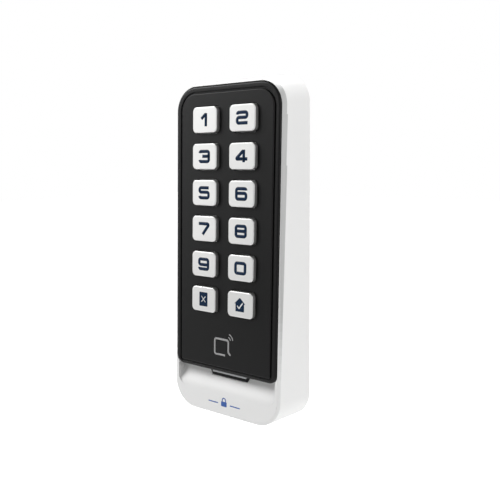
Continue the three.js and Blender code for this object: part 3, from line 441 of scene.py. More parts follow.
def shared_tree(name, kind, inputs, build):
    """A node group, made once, with (label, socket, default) inputs. build gives its outputs by label."""
    tree = bpy.data.node_groups.get(name)
    if tree:
        return tree
    tree = bpy.data.node_groups.new(name, kind)
    for label, socket, value in inputs:
        item = tree.interface.new_socket(label, in_out="INPUT", socket_type=f"NodeSocket{socket}")
        if value is not None:
            item.default_value = value
    source, result = tree.nodes.new("NodeGroupInput").outputs, tree.nodes.new("NodeGroupOutput").inputs
    for label, made in build(tree, source).items():
        socket = OUTPUT_SOCKETS.get(label, "Float")
        tree.interface.new_socket(label, in_out="OUTPUT", socket_type=f"NodeSocket{socket}")
        tree.links.new(made, result[label])
    return tree


def add_node(tree, kind, inputs, **options):
    """A node with its options set, and each input linked to a socket or set to a value."""
    node = tree.nodes.new(kind)
    for option, value in options.items():
        setattr(node, option, value)
    for label, value in inputs.items():
        if isinstance(value, bpy.types.NodeSocket):
            tree.links.new(value, node.inputs[label])
        else:
            node.inputs[label].default_value = value
    return node


def math_node(tree, operation, a, b):
    return add_node(tree, "ShaderNodeMath", {0: a, 1: b}, operation=operation).outputs[0]


def vector_node(tree, **parts):
    return add_node(tree, "ShaderNodeCombineXYZ", parts).outputs[0]


def scaled(tree, tone, factor):
    return add_node(tree, "ShaderNodeVectorMath", {0: tone, "Scale": factor}, operation="SCALE").outputs[0]


def noise(tree, vector, scale, detail=2.0, roughness=0.5):
    inputs = {"Vector": vector, "Scale": scale, "Detail": detail, "Roughness": roughness}
    return add_node(tree, "ShaderNodeTexNoise", inputs).outputs["Fac"]


def swing(tree, factor, amount):
    """The amount times the factor's distance above or below a half."""
    return math_node(tree, "MULTIPLY", math_node(tree, "SUBTRACT", factor, 0.5), amount)


# ---- Shader node groups ----

def surface(tree, source, factor, height):
    """Tone and roughness that swing with a factor, and the relief."""
    tone = math_node(tree, "ADD", swing(tree, factor, source["Tone Change"]), 1.0)
    shine = math_node(tree, "ADD", source["Roughness"], swing(tree, factor, source["Roughness Change"]))
    return {"Colour": scaled(tree, source["Colour"], tone), "Roughness": shine, "Height": height}


def grain(tree, source):
    """Fine grain of paint or moulded plastic, with a slow drift."""
    fine = noise(tree, source["Vector"], source["Grain Scale"], 3.0, 0.6)
    drift = noise(tree, source["Vector"], source["Drift Scale"])
    return surface(tree, source, math_node(tree, "MULTIPLY", math_node(tree, "ADD", fine, drift), 0.5), fine)


def brushed(tree, source):
    """Long fine scratches along X, for brushed and turned metal."""
    mapping = add_node(tree, "ShaderNodeMapping", {"Vector": source["Vector"], "Scale": (1.0, 60.0, 60.0)})
    lines = noise(tree, mapping.outputs["Vector"], source["Line Scale"], 4.0, 0.65)
    return surface(tree, source, lines, lines)


def specks(tree, source):
    """Sparse dust specks that lighten or darken a surface a little."""
    inputs = {"Vector": source["Vector"], "Scale": source["Speck Scale"]}
    distance = add_node(tree, "ShaderNodeTexVoronoi", inputs).outputs["Distance"]
    near = math_node(tree, "LESS_THAN", distance, source["Speck Size"])
    patches = noise(tree, source["Vector"], source["Patch Scale"])
    kept = math_node(tree, "MULTIPLY", near, math_node(tree, "GREATER_THAN", patches, source["Patch Gaps"]))
    mask = math_node(tree, "MULTIPLY", kept, source["Amount"])
    inputs = {0: mask, 6: source["Colour"], 7: source["Speck Colour"]}
    return {"Colour": add_node(tree, "ShaderNodeMix", inputs, data_type="RGBA").outputs[2]}


def painted_shade_tone(tree, source):
    """Painted shade: a darker tone on the faces that a piece's own mask marks, such as walls and chamfers."""
    mask = math_node(tree, "MULTIPLY", source["Mask"], source["Amount"])
    return {"Colour": scaled(tree, source["Colour"], math_node(tree, "SUBTRACT", 1.0, mask))}


def floats(**values):
    return [(label.replace("_", " ").title(), "Float", value) for label, value in values.items()]


GROUPS = {
    "surface_grain": ((VECTOR, BASE_COLOUR, *floats(
        grain_scale=4000.0, drift_scale=60.0, tone_change=0.05, roughness=0.5, roughness_change=0.1)), grain),
    "brushed_lines": ((VECTOR, BASE_COLOUR, *floats(
        line_scale=90.0, tone_change=0.2, roughness=0.5, roughness_change=0.25)), brushed),
    "dust_specks": ((VECTOR, BASE_COLOUR, ("Speck Colour", "Color", (0.5, 0.5, 0.5, 1.0)), *floats(
        speck_scale=900.0, speck_size=0.11, patch_scale=140.0, patch_gaps=0.56, amount=0.15)), specks),
    "shaded_faces": ((BASE_COLOUR, *floats(mask=0.0, amount=0.3)), painted_shade_tone),
}


def shared(tree, name, inputs):
    """The outputs of a shared group, placed in a material with inputs of its own."""
    group = shared_tree(name, "ShaderNodeTree", *GROUPS[name])
    return add_node(tree, "ShaderNodeGroup", inputs, node_tree=group).outputs


def material(name, base, roughness, group="surface_grain", metallic=0.0, bump=0.05, coat=0.0, dust=None,
             specular=0.5, shade=0.0, **values):
    """A procedural finish: a shared group drives its colour, roughness and bump."""
    title = f"{name}_finish"
    found = bpy.data.materials.get(title)
    if found:
        return found
    made = bpy.data.materials.new(title)
    made.use_nodes = True
    made.diffuse_color = (*base, 1.0)
    tree = made.node_tree
    shader = tree.nodes["Principled BSDF"].inputs
    shader["Metallic"].default_value = metallic
    shader["Specular IOR Level"].default_value = specular
    shader["Coat Weight"].default_value = coat
    place = tree.nodes.new("ShaderNodeTexCoord").outputs["Object"]
    own = {label: value for label, _, value in floats(**values)}
    finish = shared(tree, group, {"Vector": place, "Colour": (*base, 1.0), "Roughness": roughness, **own})
    tone = finish["Colour"]
    if dust:
        inputs = {"Vector": place, "Colour": tone, "Speck Colour": (*dust, 1.0)}
        tone = shared(tree, "dust_specks", inputs)["Colour"]
    # Painted shade: the faces that the piece's mask marks get darker by the share given
    if shade:
        mask = add_node(tree, "ShaderNodeAttribute", {}, attribute_name=PAINTED_SHADE_MASK).outputs["Fac"]
        tone = shared(tree, "shaded_faces", {"Colour": tone, "Mask": mask, "Amount": shade})["Colour"]
    tree.links.new(tone, shader["Base Color"])
    tree.links.new(finish["Roughness"], shader["Roughness"])
    if bump:
        inputs = {"Strength": bump, "Distance": RELIEF, "Height": finish["Height"]}
        tree.links.new(add_node(tree, "ShaderNodeBump", inputs).outputs["Normal"], shader["Normal"])
    return made


def white_enamel():
    # The shade here is painted shade, on the housing's chamfer beside the panel and on the ends of its scoop
    return material(
        "white_enamel", settings().finish.housing, 0.42, bump=0.12, dust=(0.6, 0.6, 0.6), shade=0.42,
        grain_scale=2600.0, drift_scale=45.0, tone_change=0.025, roughness_change=0.12)


def black_panel():
    return material(
        "black_panel", settings().finish.panel, 0.42, bump=0.35, dust=(0.03, 0.03, 0.03), specular=0.27,
        grain_scale=5200.0, drift_scale=50.0, tone_change=0.22, roughness_change=0.16)


def satin_key():
    # The shade here is painted shade on the walls of each key cap
    return material(
        "satin_key", settings().finish.key, 0.36, bump=0.10, metallic=0.5, shade=0.70,
        grain_scale=5200.0, drift_scale=160.0, tone_change=0.03, roughness_change=0.12)


def navy_print():
    return material(
        "navy_print", settings().finish.legend, 0.5, bump=0.1, specular=0.12,
        grain_scale=6000.0, tone_change=0.25, roughness_change=0.1)


def brushed_steel():
    grey = (0.56, 0.565, 0.57)
    return material("brushed_steel", grey, 0.33, group="brushed_lines", metallic=1.0, bump=0.15)


# ---- Outlines shared by pieces that fit together ----

def body_outline(draft, inset):
    h = settings().housing
    half = h.half_height - draft - inset
    radius = max(h.corner - inset, 0.2 * MM)
    return rounded_outline(h.half_width - inset, -half, half, radius, radius)


def plane_at(depth, tilt):
    return lambda z: -depth + math.tan(tilt) * z


def panel_box():
    """(half width, low, high) of the panel in the front frame."""
    h, p = settings().housing, settings().panel
    front_half = h.half_height - h.end_draft
    return h.half_width - h.rim - p.gap, -front_half + h.chin, front_half - h.rim - p.gap


def panel_outline(inset, foot=None):
    p = settings().panel
    half, low, high = panel_box()
    foot = inset if foot is None else foot
    r_low = max(p.corner_bottom - max(inset, foot), p.groove)
    return rounded_outline(half - inset, low + foot, high - inset, r_low, max(p.corner_top - inset, p.groove))


def key_places():
    """(name, x, z) of each key in the front frame."""
    k = settings().key
    _, _, top = panel_box()
    column = k.width + k.column_gap
    row = k.height + k.row_gap
    first = top - k.top_margin - k.height / 2
    return [(name, (i % 2 - 0.5) * column, first - (i // 2) * row) for i, name in enumerate(KEY_NAMES)]


def key_outline(x, z, grow):
    k = settings().key
    half = k.height / 2 + grow
    corner = k.corner + grow
    outline = rounded_outline(k.width / 2 + grow, -half, half, corner, corner, SMALL_CORNER_STEPS)
    return [(x + px, z + pz) for px, pz in outline]


# ---- Housing ----

def shell_outline(draft, inset):
    """The body's outline with more points down its long sides, so that the painted shade can fade along them.
    """
    corners = body_outline(draft, inset)
    points = []
    for (x, z), (_, end) in zip(corners, corners[1:] + corners[:1]):
        points.append((x, z))
        if abs(end - z) > settings().housing.half_height:
            points += [(x, z + (end - z) * i / SIDE_STEPS) for i in range(1, SIDE_STEPS)]
    return points


def housing_shell():
    h = settings().housing
    rings = rounded_rings(lambda inset: shell_outline(0, inset), 0, h.edge, -h.edge)
    shoulder = plane_at(h.front_depth - h.shoulder_drop, h.shoulder_tilt)
    rim = plane_at(h.front_depth - h.rim_setback, h.front_tilt)
    for i in range(CHAMFER_STEPS + 1):
        t = i / CHAMFER_STEPS
        turn = t * math.pi / 2
        inset_share = 0.3 * (1 - math.cos(turn)) + 0.7 * t
        rise_share = 0.3 * math.sin(turn) + 0.7 * t
        rings.append(ring(
            shell_outline(h.end_draft, h.rim * inset_share),
            lambda z, s=rise_share: shoulder(z) * (1 - s) + rim(z) * s))
    return loft("housing", rings)


def scoop_tool():
    """A soft basin under the panel whose floor swings forward to the chin's face."""
    h = settings().housing
    half, low, _ = panel_box()
    top = low - settings().panel.gap
    bottom = top - h.scoop_height
    side = half - h.scoop_side
    narrow_from = top - 0.52 * h.scoop_height
    rings = []
    for i in range(SCOOP_STEPS + 1):
        t = i / SCOOP_STEPS
        z = bottom + h.scoop_height * t
        rise = (1 - math.cos(math.pi * t)) / 2
        depth = max((h.scoop_depth - h.rim_setback) * rise, 0.01 * MM)
        drop_share = max(0.0, (narrow_from - z) / (narrow_from - bottom))
        rings.append(basin_section(side - 4.2 * MM * drop_share ** 2.2, h.rim_setback, depth, z))
    rings.append(basin_section(side, h.rim_setback, h.scoop_depth - h.rim_setback, top + 1.8 * MM))
    return in_front(loft("scoop", rings))


def basin_section(half, surface, depth, z):
    """A level section of the basin: a squared U that opens to the front."""
    power = 2 / 7
    points = [Vector((-half, -1 * MM, z))]
    for i in range(BASIN_STEPS + 1):
        across, down = math.cos(math.pi * (1 - i / BASIN_STEPS)), math.sin(math.pi * (1 - i / BASIN_STEPS))
        x = half * math.copysign(abs(across) ** power, across)
        y = depth * abs(down) ** power
        points.append(Vector((x, surface + y, z)))
    points.append(Vector((half, -1 * MM, z)))
    return points


def light_outline(grow, top_grow=0.0):
    """The tapered tab that holds the status light."""
    _, top, _ = panel_box()
    low = top - TAB_HEIGHT
    return [(TAB_TOP + grow, top + top_grow), (-TAB_TOP - grow, top + top_grow),
            (-TAB_FOOT - grow, low - grow), (TAB_FOOT + grow, low - grow)]


def housing_painted_shade(spot, normal):
    """The share of painted shade on the housing: its chamfer beside the panel, standing in for shade and a
    dark reflection and fading out towards the chin, and the ends of its scoop, standing in for shade under
    the panel.
    """
    h = settings().housing
    _, low, _ = panel_box()
    beside_panel = abs(spot.x) > h.half_width - h.rim
    in_scoop = low - h.scoop_height < spot.z < low and not beside_panel
    if in_scoop:
        return 0.8 * clamped(abs(normal.x) / 0.7)
    if not 0.35 < -normal.y < 0.9:
        return 0.0
    return clamped(abs(normal.x) / 0.75) ** 3 * clamped((spot.z - low) / (25 * MM))


class READER_OT_housing(bpy.types.Operator):
    """Build the cast housing with its rim, chin, scoop and rear recess"""
    bl_idname = "reader.housing"
    bl_label = "Housing"

    def execute(self, context):
        h, p = settings().housing, settings().panel
        body = housing_shell()
        lip = 0.16 * MM
        steps = ((lip, -2 * MM), (lip, h.rim_setback), (lip * 0.3, h.rim_setback + lip * 0.35),
                 (0, h.rim_setback + lip), (0, h.pocket_depth))
        pocket = loft("pocket", [ring(panel_outline(-p.gap - grow), depth) for grow, depth in steps])
        throat = in_front(prism("throat", panel_outline(1.35 * MM), h.pocket_depth - 0.1 * MM, 9 * MM))
        slot = in_front(prism("slot", light_outline(0.3 * MM, 2 * MM), h.scoop_depth - 2.2 * MM, 7 * MM))
        recess = prism("recess", body_outline(h.end_draft, h.wall), 1 * MM, -h.recess)
        inside = body_outline(h.end_draft, h.wall + 1 * MM)
        ceiling = plane_at(h.front_depth - 6 * MM, h.front_tilt)
        inner = loft("inner", [ring(inside, -h.recess + 0.05 * MM), ring(inside, ceiling)])
        foot = (0, -2.7 * MM, -h.half_height)
        bores = [turned(name, [(radius * MM, -1 * MM), (radius * MM, deep * MM)], foot, "Z", steps)
                 for name, radius, deep, steps in (("lock_bore", 1.25, 5, 32), ("lock_mouth", 2.15, 2, 48))]
        boolean(body, [recess, inner, in_front(pocket), throat, slot, scoop_tool(), *bores])
        smooth(body, math.radians(28))
        # Painted shade on the chamfer beside the panel and on the ends of the scoop
        paint_shade_on_faces(body, housing_painted_shade)
        finish_piece(body, READER, white_enamel(), ("front_housing",))
        return {"FINISHED"}


# ---- Panel ----

def bezel_piece():
    p = settings().panel
    inner, foot = p.bezel_width, p.bezel_foot
    lip = 0.22 * MM
    rings = [ring(panel_outline(0), p.bezel_depth)]
    rings += reversed(rounded_rings(panel_outline, 0, p.bezel_edge, p.bezel_edge * 0.8))
    rings += rounded_rings(lambda grow: panel_outline(inner - grow, foot - grow), 0, lip, lip, 3)
    shelf = p.groove * 0.8
    steps = ((0, p.groove_depth), (shelf, p.groove_depth), (shelf, p.ledge_depth), (p.ledge, p.ledge_depth),
             (p.ledge, p.bezel_depth))
    rings += [ring(panel_outline(inner + extra, foot + extra), depth) for extra, depth in steps]
    return in_front(loft("bezel", rings, closed=True))


def faceplate_piece():
    p, k = settings().panel, settings().key
    inset, foot = p.bezel_width + p.groove, p.bezel_foot + p.groove
    rings = rounded_rings(
        lambda extra: panel_outline(inset + extra, foot + extra), -p.plate_rise, p.plate_edge, p.plate_edge)
    rings.append(ring(panel_outline(inset, foot), p.plate_back))
    plate = loft("faceplate", rings)
    lip = 0.1 * MM
    steps = ((lip, -p.plate_rise - 1 * MM), (lip, -p.plate_rise), (0, -p.plate_rise + lip),
             (0, p.plate_back + 1 * MM))
    holes = joined("holes", [
        loft("hole", [ring(key_outline(x, z, k.clearance + extra), depth) for extra, depth in steps])
        for _, x, z in key_places()])
    return in_front(boolean(plate, [holes]))


class READER_OT_panel(bpy.types.Operator):
    """Build the black bezel and the faceplate inside it"""
    bl_idname = "reader.panel"
    bl_label = "Panel"

    def execute(self, context):
        for piece, node in ((bezel_piece(), "keypad_bezel"), (faceplate_piece(), "keypad_faceplate")):
            reader_piece(piece, black_panel(), "black_plastic", node)
        return {"FINISHED"}


# ---- Keys ----

def key_painted_shade(spot, normal):
    """Painted shade: full on a key's walls and none on its top, with a fade round its edge."""
    return clamped((0.66 + normal.y) / 0.3)


class READER_OT_keys(bpy.types.Operator):
    """Build each key cap with its rounded top edge, and its flange behind the faceplate"""
    bl_idname = "reader.keys"
    bl_label = "Keys"

    def execute(self, context):
        k = settings().key
        for name, x, z in key_places():
            rings = rounded_rings(lambda inset: key_outline(x, z, -inset), -k.rise + k.print_height,
                                  k.edge_width, k.edge_depth, 7)
            steps = ((0, k.flange_depth), (k.flange, k.flange_depth), (k.flange, k.back_depth))
            rings += [ring(key_outline(x, z, grow), depth) for grow, depth in steps]
            cap = smooth(in_front(loft(f"key_cap_{name}", rings)))
            # Painted shade on the key's walls
            paint_shade_on_faces(cap, key_painted_shade)
            finish_piece(cap, f"key_{name}_body", satin_key(), (f"key_{name}",))
        return {"FINISHED"}


# ---- Silicone mat ----

class READER_OT_mat(bpy.types.Operator):
    """Part the silicone mat into its sheet and one dome for each key"""
    bl_idname = "reader.mat"
    bl_label = "Silicone mat"

    def execute(self, context):
        m = settings().mat
        silicone = material("mat_silicone", (0.26, 0.27, 0.28), 0.6, bump=0.2, grain_scale=2500.0,
                            tone_change=0.1, roughness_change=0.15)
        far = 1.0
        sheet_side = in_front(block("sheet_side", (-far, far), (m.front, far), (-far, far)))
        sheet = boolean(cad_copy("key_mat", "mat_sheet"), [sheet_side], "INTERSECT")
        reader_piece(sheet, silicone, "silicone", "key_mat")
        for name, x, z in key_places():
            reach = m.dome_reach
            sides = (x - reach, x + reach), (0, m.front), (z - reach, z + reach)
            around = in_front(block("around", *sides))
            dome = boolean(cad_copy("key_mat", f"mat_dome_{name}"), [around], "INTERSECT")
            reader_piece(dome, silicone, "silicone")
            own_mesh(dome)
        return {"FINISHED"}


# ---- Geometry Nodes ----

def grown(piece, name, inputs, shape_for, material):
    """The plain mesh that a tree makes of a piece. Its shape, from (label, socket, value) inputs, is made
    real and gets the material."""
    def build(tree, source):
        real = add_node(tree, "GeometryNodeRealizeInstances", {"Geometry": shape_for(tree, source)})
        ends = {"Geometry": real.outputs["Geometry"], "Material": source["Material"]}
        return {"Geometry": add_node(tree, "GeometryNodeSetMaterial", ends).outputs["Geometry"]}

    inputs = [("Geometry", "Geometry", None), *inputs, ("Material", "Material", material)]
    defaults = [(label, socket, value if socket in ("Float", "Int") else None)
                for label, socket, value in inputs]
    tree = shared_tree(name, "GeometryNodeTree", defaults, build)
    values = {label: value for label, _, value in inputs[1:]}
    modifier = piece.modifiers.new(name, "NODES")
    modifier.node_group = tree
    for item in tree.interface.items_tree:
        if item.in_out == "INPUT" and item.name in values:
            modifier[item.identifier] = values[item.name]
    return applied(piece)


def on_points(tree, points, instance, rotation):
    inputs = {"Points": points, "Instance": instance, "Rotation": rotation}
    return add_node(tree, "GeometryNodeInstanceOnPoints", inputs).outputs["Instances"]


def stroke_shape(tree, source):
    """A flat bar swept along each edge path, with its corners rounded."""
    curve = add_node(tree, "GeometryNodeMeshToCurve", {"Mesh": source["Geometry"]}).outputs["Curve"]
    inputs = {"Curve": curve, "Radius": source["Corner"], "Count": 6, "Limit Radius": True}
    curve = add_node(tree, "GeometryNodeFilletCurve", inputs, mode="POLY").outputs["Curve"]
    curve = add_node(tree, "GeometryNodeSetCurveNormal", {"Curve": curve}, mode="Z_UP").outputs["Curve"]
    inputs = {"Width": source["Stroke Width"], "Height": source["Thickness"]}
    bar = add_node(tree, "GeometryNodeCurvePrimitiveQuadrilateral", inputs).outputs["Curve"]
    inputs = {"Curve": curve, "Profile Curve": bar, "Fill Caps": True}
    return add_node(tree, "GeometryNodeCurveToMesh", inputs).outputs["Mesh"]


def rib_shape(tree, source):
    """A row of slanted ribs: a bar instanced along a line."""
    span = source["Half Span"]
    start = vector_node(tree, X=math_node(tree, "MULTIPLY", span, -1.0))
    inputs = {"Count": source["Count"], "Start Location": start, "Offset": vector_node(tree, X=span)}
    line = add_node(tree, "GeometryNodeMeshLine", inputs, mode="END_POINTS").outputs["Mesh"]
    size = vector_node(tree, X=source["Rib Width"], Y=source["Rib Length"], Z=source["Rib Height"])
    bar = add_node(tree, "GeometryNodeMeshCube", {"Size": size}).outputs["Mesh"]
    return on_points(tree, line, bar, vector_node(tree, Z=math_node(tree, "MULTIPLY", source["Slant"], -1.0)))


def screw_shape(tree, source):
    """One chosen object on each of the input's points, turned a little further on each."""
    screw = add_node(tree, "GeometryNodeObjectInfo", {"Object": source["Screw"]}).outputs["Geometry"]
    index = tree.nodes.new("GeometryNodeInputIndex").outputs[0]
    turn = vector_node(tree, Y=math_node(tree, "MULTIPLY", index, source["Turn"]))
    return on_points(tree, source["Geometry"], screw, turn)


# ---- Printed marks, swept along their strokes ----

def strokes(name, paths, width, thickness, corner, ink):
    """A flat mark swept along paths of (x, y) points. A path that ends on its first point is closed."""
    bm = bmesh.new()
    for points in paths:
        closed = points[0] == points[-1]
        verts = [bm.verts.new((x, y, 0)) for x, y in (points[:-1] if closed else points)]
        for a, b in zip(verts, verts[1:] + (verts[:1] if closed else [])):
            bm.edges.new((a, b))
    inputs = floats(stroke_width=width, thickness=thickness, corner=corner)
    piece = grown(mesh_object(name, bm), "printed_stroke", inputs, stroke_shape, ink)
    return edited(piece, merge(MARK_MERGE), lambda bm: bmesh.ops.recalc_face_normals(bm, faces=bm.faces))


def place_mark(piece, x, z, depth, body, paint):
    """Stands a mark drawn in the XY plane on the front frame, its face to the front, and finishes it."""
    stand = Matrix(((1, 0, 0, x), (0, 0, -1, depth), (0, 1, 0, z), (0, 0, 0, 1)))
    return finish_piece(moved(piece, front_matrix() @ stand), body, paint)


def in_mm(*points):
    return [(x * MM, y * MM) for x, y in points]


def arc(x, y, radius, angles):
    return [(x + radius * math.cos(math.radians(a)), y + radius * math.sin(math.radians(a))) for a in angles]


# Digit strokes on a grid from (0, 0) to (1, 1), as the middle line of each stroke.
DIGITS = {
    "1": [[(-0.02, 0.60), (0.60, 1.0), (0.72, 1.0)], [(0.72, 1.13), (0.72, -0.15)]],
    "2": [[(0, 0.80), (0, 1), (1, 1), (1, 0.52), (0, 0.52), (0, 0), (1.07, 0)]],
    "3": [[(0, 0.83), (0, 1), (1, 1), (1, 0.52), (0.28, 0.52)], [(1, 0.52), (1, 0), (0, 0), (0, 0.17)],
          [(1, 0.7), (1, 0.3)]],
    "4": [[(0.72, 1.09), (0.72, -0.09)], [(0.66, 1.0), (0.0, 0.30), (0.0, 0.22), (1.09, 0.22)]],
    "5": [[(1.02, 1), (0, 1), (0, 0.56), (1, 0.56), (1, 0), (0, 0), (0, 0.18)]],
    "6": [[(1, 0.83), (1, 1), (0, 1), (0, 0), (1, 0), (1, 0.56), (0.05, 0.56)]],
    "7": [[(-0.07, 1), (1, 1), (1, 0.82), (0.36, -0.09)]],
    "8": [[(0, 0), (1, 0), (1, 1), (0, 1), (0, 0)], [(0.05, 0.52), (0.95, 0.52)]],
    "9": [[(0, 0.17), (0, 0), (1, 0), (1, 1), (0, 1), (0, 0.44), (0.95, 0.44)]],
    "0": [[(0, 0), (1, 0), (1, 1), (0, 1), (0, 0)]],
}
def digit(name, ink, thickness):
    stroke = 1.18 * MM
    span_x = (4.1 if name == "1" else 5.5) * MM - stroke
    span_y = 4.85 * MM - stroke
    paths = [[((x - 0.5) * span_x, (y - 0.5) * span_y) for x, y in path] for path in DIGITS[name]]
    return strokes(f"digit_{name}", paths, stroke, thickness, 0.75 * MM, ink)


def flat_shape(name, outline, thickness):
    """A thin plate of the outline in the XY plane, centred on it like a stroke."""
    return loft(name, [[(x, y, side) for x, y in outline] for side in (-thickness / 2, thickness / 2)])


def rounded_plate(name, half, low, high, thickness):
    corner = 0.3 * MM
    return flat_shape(name, rounded_outline(half * MM, low * MM, high * MM, corner, corner, 5), thickness)


class READER_OT_legends(bpy.types.Operator):
    """Print the digits, the cancel cross and the house with its tick on the keys"""
    bl_idname = "reader.legends"
    bl_label = "Legends"

    def execute(self, context):
        k = settings().key
        ink, white = navy_print(), satin_key()
        base, thin = k.print_height * 0.6, k.print_height * 0.35
        for name, x, z in key_places():
            light = None
            if name == "cancel":
                dark = rounded_plate("cancel_ground", 2.0, -2.65, 2.65, base)
                cross = [in_mm((-1.0, -1.1), (1.0, 1.1)), in_mm((-1.0, 1.1), (1.0, -1.1))]
                light = strokes("cancel_cross", cross, 0.28 * MM, thin, 0.0, white)
            elif name == "enter":
                house = in_mm((-2.5, 0.35), (0.0, 2.6), (2.5, 0.35), (1.95, 0.35), (1.95, -2.5),
                              (-1.95, -2.5), (-1.95, 0.35))
                dark = flat_shape("enter_house", house, base)
                tick = in_mm((-1.15, -0.4), (-0.35, -1.35), (1.3, 0.75))
                light = strokes("enter_tick", [tick], 0.46 * MM, thin, 0.05 * MM, white)
            else:
                dark = digit(name, ink, base)
            body = f"key_{name}_body"
            place_mark(dark, x, z, -k.rise + k.print_height - base / 2, body, ink)
            if light:
                place_mark(light, x, z, -k.rise + thin / 2, body, white)
        return {"FINISHED"}


class READER_OT_marks(bpy.types.Operator):
    """Print the grey card symbol on the faceplate and the small padlock mark on the chin"""
    bl_idname = "reader.marks"
    bl_label = "Panel marks"

    def execute(self, context):
        f, h, p = settings().finish, settings().housing, settings().panel
        grey = material("card_mark_grey", f.card_mark, 0.5, bump=0.1, grain_scale=5000.0, tone_change=0.1)
        thickness = 0.03 * MM
        card = in_mm((0.8, -38.35), (-4.2, -38.35), (-4.2, -32.45), (2.35, -32.45), (2.35, -36.9),
                     (3.4, -37.95))
        waves = [in_mm(*arc(1.95, -32.5, radius, range(8, 77, 6))) for radius in (2.5, 1.35)]
        for mark in (strokes("card_symbol", [card], 0.72 * MM, thickness, 0.8 * MM, grey),
                     strokes("card_waves", waves, 0.42 * MM, thickness, 0.0, grey)):
            place_mark(mark, 0, 0, -p.plate_rise - thickness / 2, READER, grey)
        blue = material("emblem_blue", f.emblem, 0.45, bump=0.1, grain_scale=5000.0, tone_change=0.15)
        arch = in_mm((-0.8, 0.4), (-0.8, 1.0), *arc(0, 1.0, 0.8, range(165, 14, -15)), (0.8, 1.0), (0.8, 0.4))
        dashes = [in_mm((-7.6, -0.5), (-2.9, -0.5)), in_mm((2.9, -0.5), (7.6, -0.5))]
        for mark in (rounded_plate("padlock_body", 1.35, -1.45, 0.45, thickness),
                     strokes("padlock_shackle", [arch], 0.42 * MM, thickness, 0.0, blue),
                     strokes("padlock_dashes", dashes, 0.45 * MM, thickness, 0.0, blue)):
            place_mark(mark, 0, -56.9 * MM, h.rim_setback - thickness / 2, READER, blue)
        return {"FINISHED"}


# ---- Status light ----

class READER_OT_status_light(bpy.types.Operator):
    """Build the status light: its tapered holder, the light bar and the fine ribs below it"""
    bl_idname = "reader.status_light"
    bl_label = "Status light"

    def execute(self, context):
        f = settings().finish
        _, top, _ = panel_box()
        front, back = 3.45 * MM, 6.3 * MM
        half = 8.1 * MM
        bar_top = top - 0.8 * MM
        bar_low = bar_top - 0.9 * MM
        holder = prism("light_holder_body", light_outline(0), front, back)
        slot = block("slot", (-half - 0.3 * MM, half + 0.3 * MM), (front - 1 * MM, back + 1 * MM),
                     (bar_low - 0.15 * MM, bar_top + 0.15 * MM))
        holder = in_front(bevelled(boolean(holder, [slot]), 0.08 * MM))
        black = black_panel()
        reader_piece(holder, black, "black_plastic", "light_holder")
        bar = block("light_bar", (-half, half), (front - 0.25 * MM, back), (bar_low, bar_top))
        glow = material("light_bar_grey", f.light_bar, 0.28, bump=0.05, coat=0.4, grain_scale=1800.0,
                        tone_change=0.12, roughness_change=0.1)
        pipes = [block("pipe", (x * MM - 1.6 * MM, x * MM + 1.6 * MM), (back - 0.05 * MM, 9 * MM),
                       (bar_low + 0.01 * MM, bar_top - 0.01 * MM)) for x in (-5, 0, 5)]
        guide = in_front(joined("light_bar", [bevelled(bar, 0.18 * MM), *pipes]))
        reader_piece(guide, glow, "light_guide", "light_guide")
        inputs = [("Count", "Int", 17), *floats(
            half_span=7.2 * MM, rib_width=0.16 * MM, rib_length=0.8 * MM, rib_height=0.1 * MM, slant=0.85)]
        ribs = grown(mesh_object("light_ribs", bmesh.new()), "slanted_ribs", inputs, rib_shape, black)
        place_mark(ribs, 0, bar_low - 0.62 * MM, front, READER, black)
        return {"FINISHED"}


# ---- Screws ----

def screw_mesh(name, shank, head, head_height, length, socket):
    """A pan-head screw along Y: head at the origin side, its tip towards -Y."""
    profile = [(shank * 0.55, -length), (shank, -length + shank * 0.6), (shank, -0.02 * MM),
               (head * 0.97, 0.0), (head, head_height * 0.25), (head * 0.96, head_height * 0.6),
               (head * 0.8, head_height * 0.88), (head * 0.5, head_height)]
    body = turned(name, profile, steps=40)
    hexagon = turned("socket", [(socket, head_height - 0.5 * MM), (socket, head_height + 1 * MM)], steps=6)
    return boolean(body, [hexagon])


def screw_set(name, screw, points, nodes):
    bm = bmesh.new()
    for point in points:
        bm.verts.new(point)
    inputs = [("Screw", "Object", screw), *floats(turn=0.7)]
    piece = grown(mesh_object(name, bm), "screws_on_points", inputs, screw_shape, brushed_steel())
    drop(screw)
    return reader_piece(piece, brushed_steel(), "steel", *nodes)


def centre(node):
    low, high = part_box(node)
    return Vector([(a + b) / 2 for a, b in zip(low, high)])


class READER_OT_screws(bpy.types.Operator):
    """Build the cover, board and lock screws on their places"""
    bl_idname = "reader.screws"
    bl_label = "Screws"

    def execute(self, context):
        covers = [f"cover_screw_{i}" for i in range(1, 5)]
        low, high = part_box(covers[0])
        under_head = high[1] - 1.3 * MM
        screw = screw_mesh("cover_screw", 1.2 * MM, 2.2 * MM, 1.3 * MM, under_head - low[1], 0.9 * MM)
        points = [Vector((centre(n).x, under_head, centre(n).z)) for n in covers]
        screw_set("cover_screws", screw, points, covers)
        low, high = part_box("lock_screw")
        length = high[2] - low[2] - 0.9 * MM
        lock = screw_mesh("lock", 1.0 * MM, 1.75 * MM, 0.9 * MM, length, 0.9 * MM)
        pin = turned("pin", [(0.3 * MM, 0.3 * MM), (0.3 * MM, 0.85 * MM)], steps=16)
        lock = joined("lock_screw_body", [lock, pin])
        spot = centre("lock_screw")
        turn = Matrix.Translation((spot.x, spot.y, low[2] + 0.9 * MM)) @ Matrix.Rotation(-math.pi / 2, 4, "X")
        moved(lock, turn)
        reader_piece(lock, brushed_steel(), "steel", "lock_screw")
        return {"FINISHED"}


# ---- Rear pieces and the inside, from their CAD meshes ----

def refined(node, name):
    """A copy of a CAD node with its flat faces whole and its edges softened."""
    piece = edited(cad_copy(node, name), lambda bm: bmesh.ops.dissolve_limit(
        bm, angle_limit=math.radians(1), verts=bm.verts, edges=bm.edges))
    return bevelled(piece, 0.12 * MM, math.radians(50))


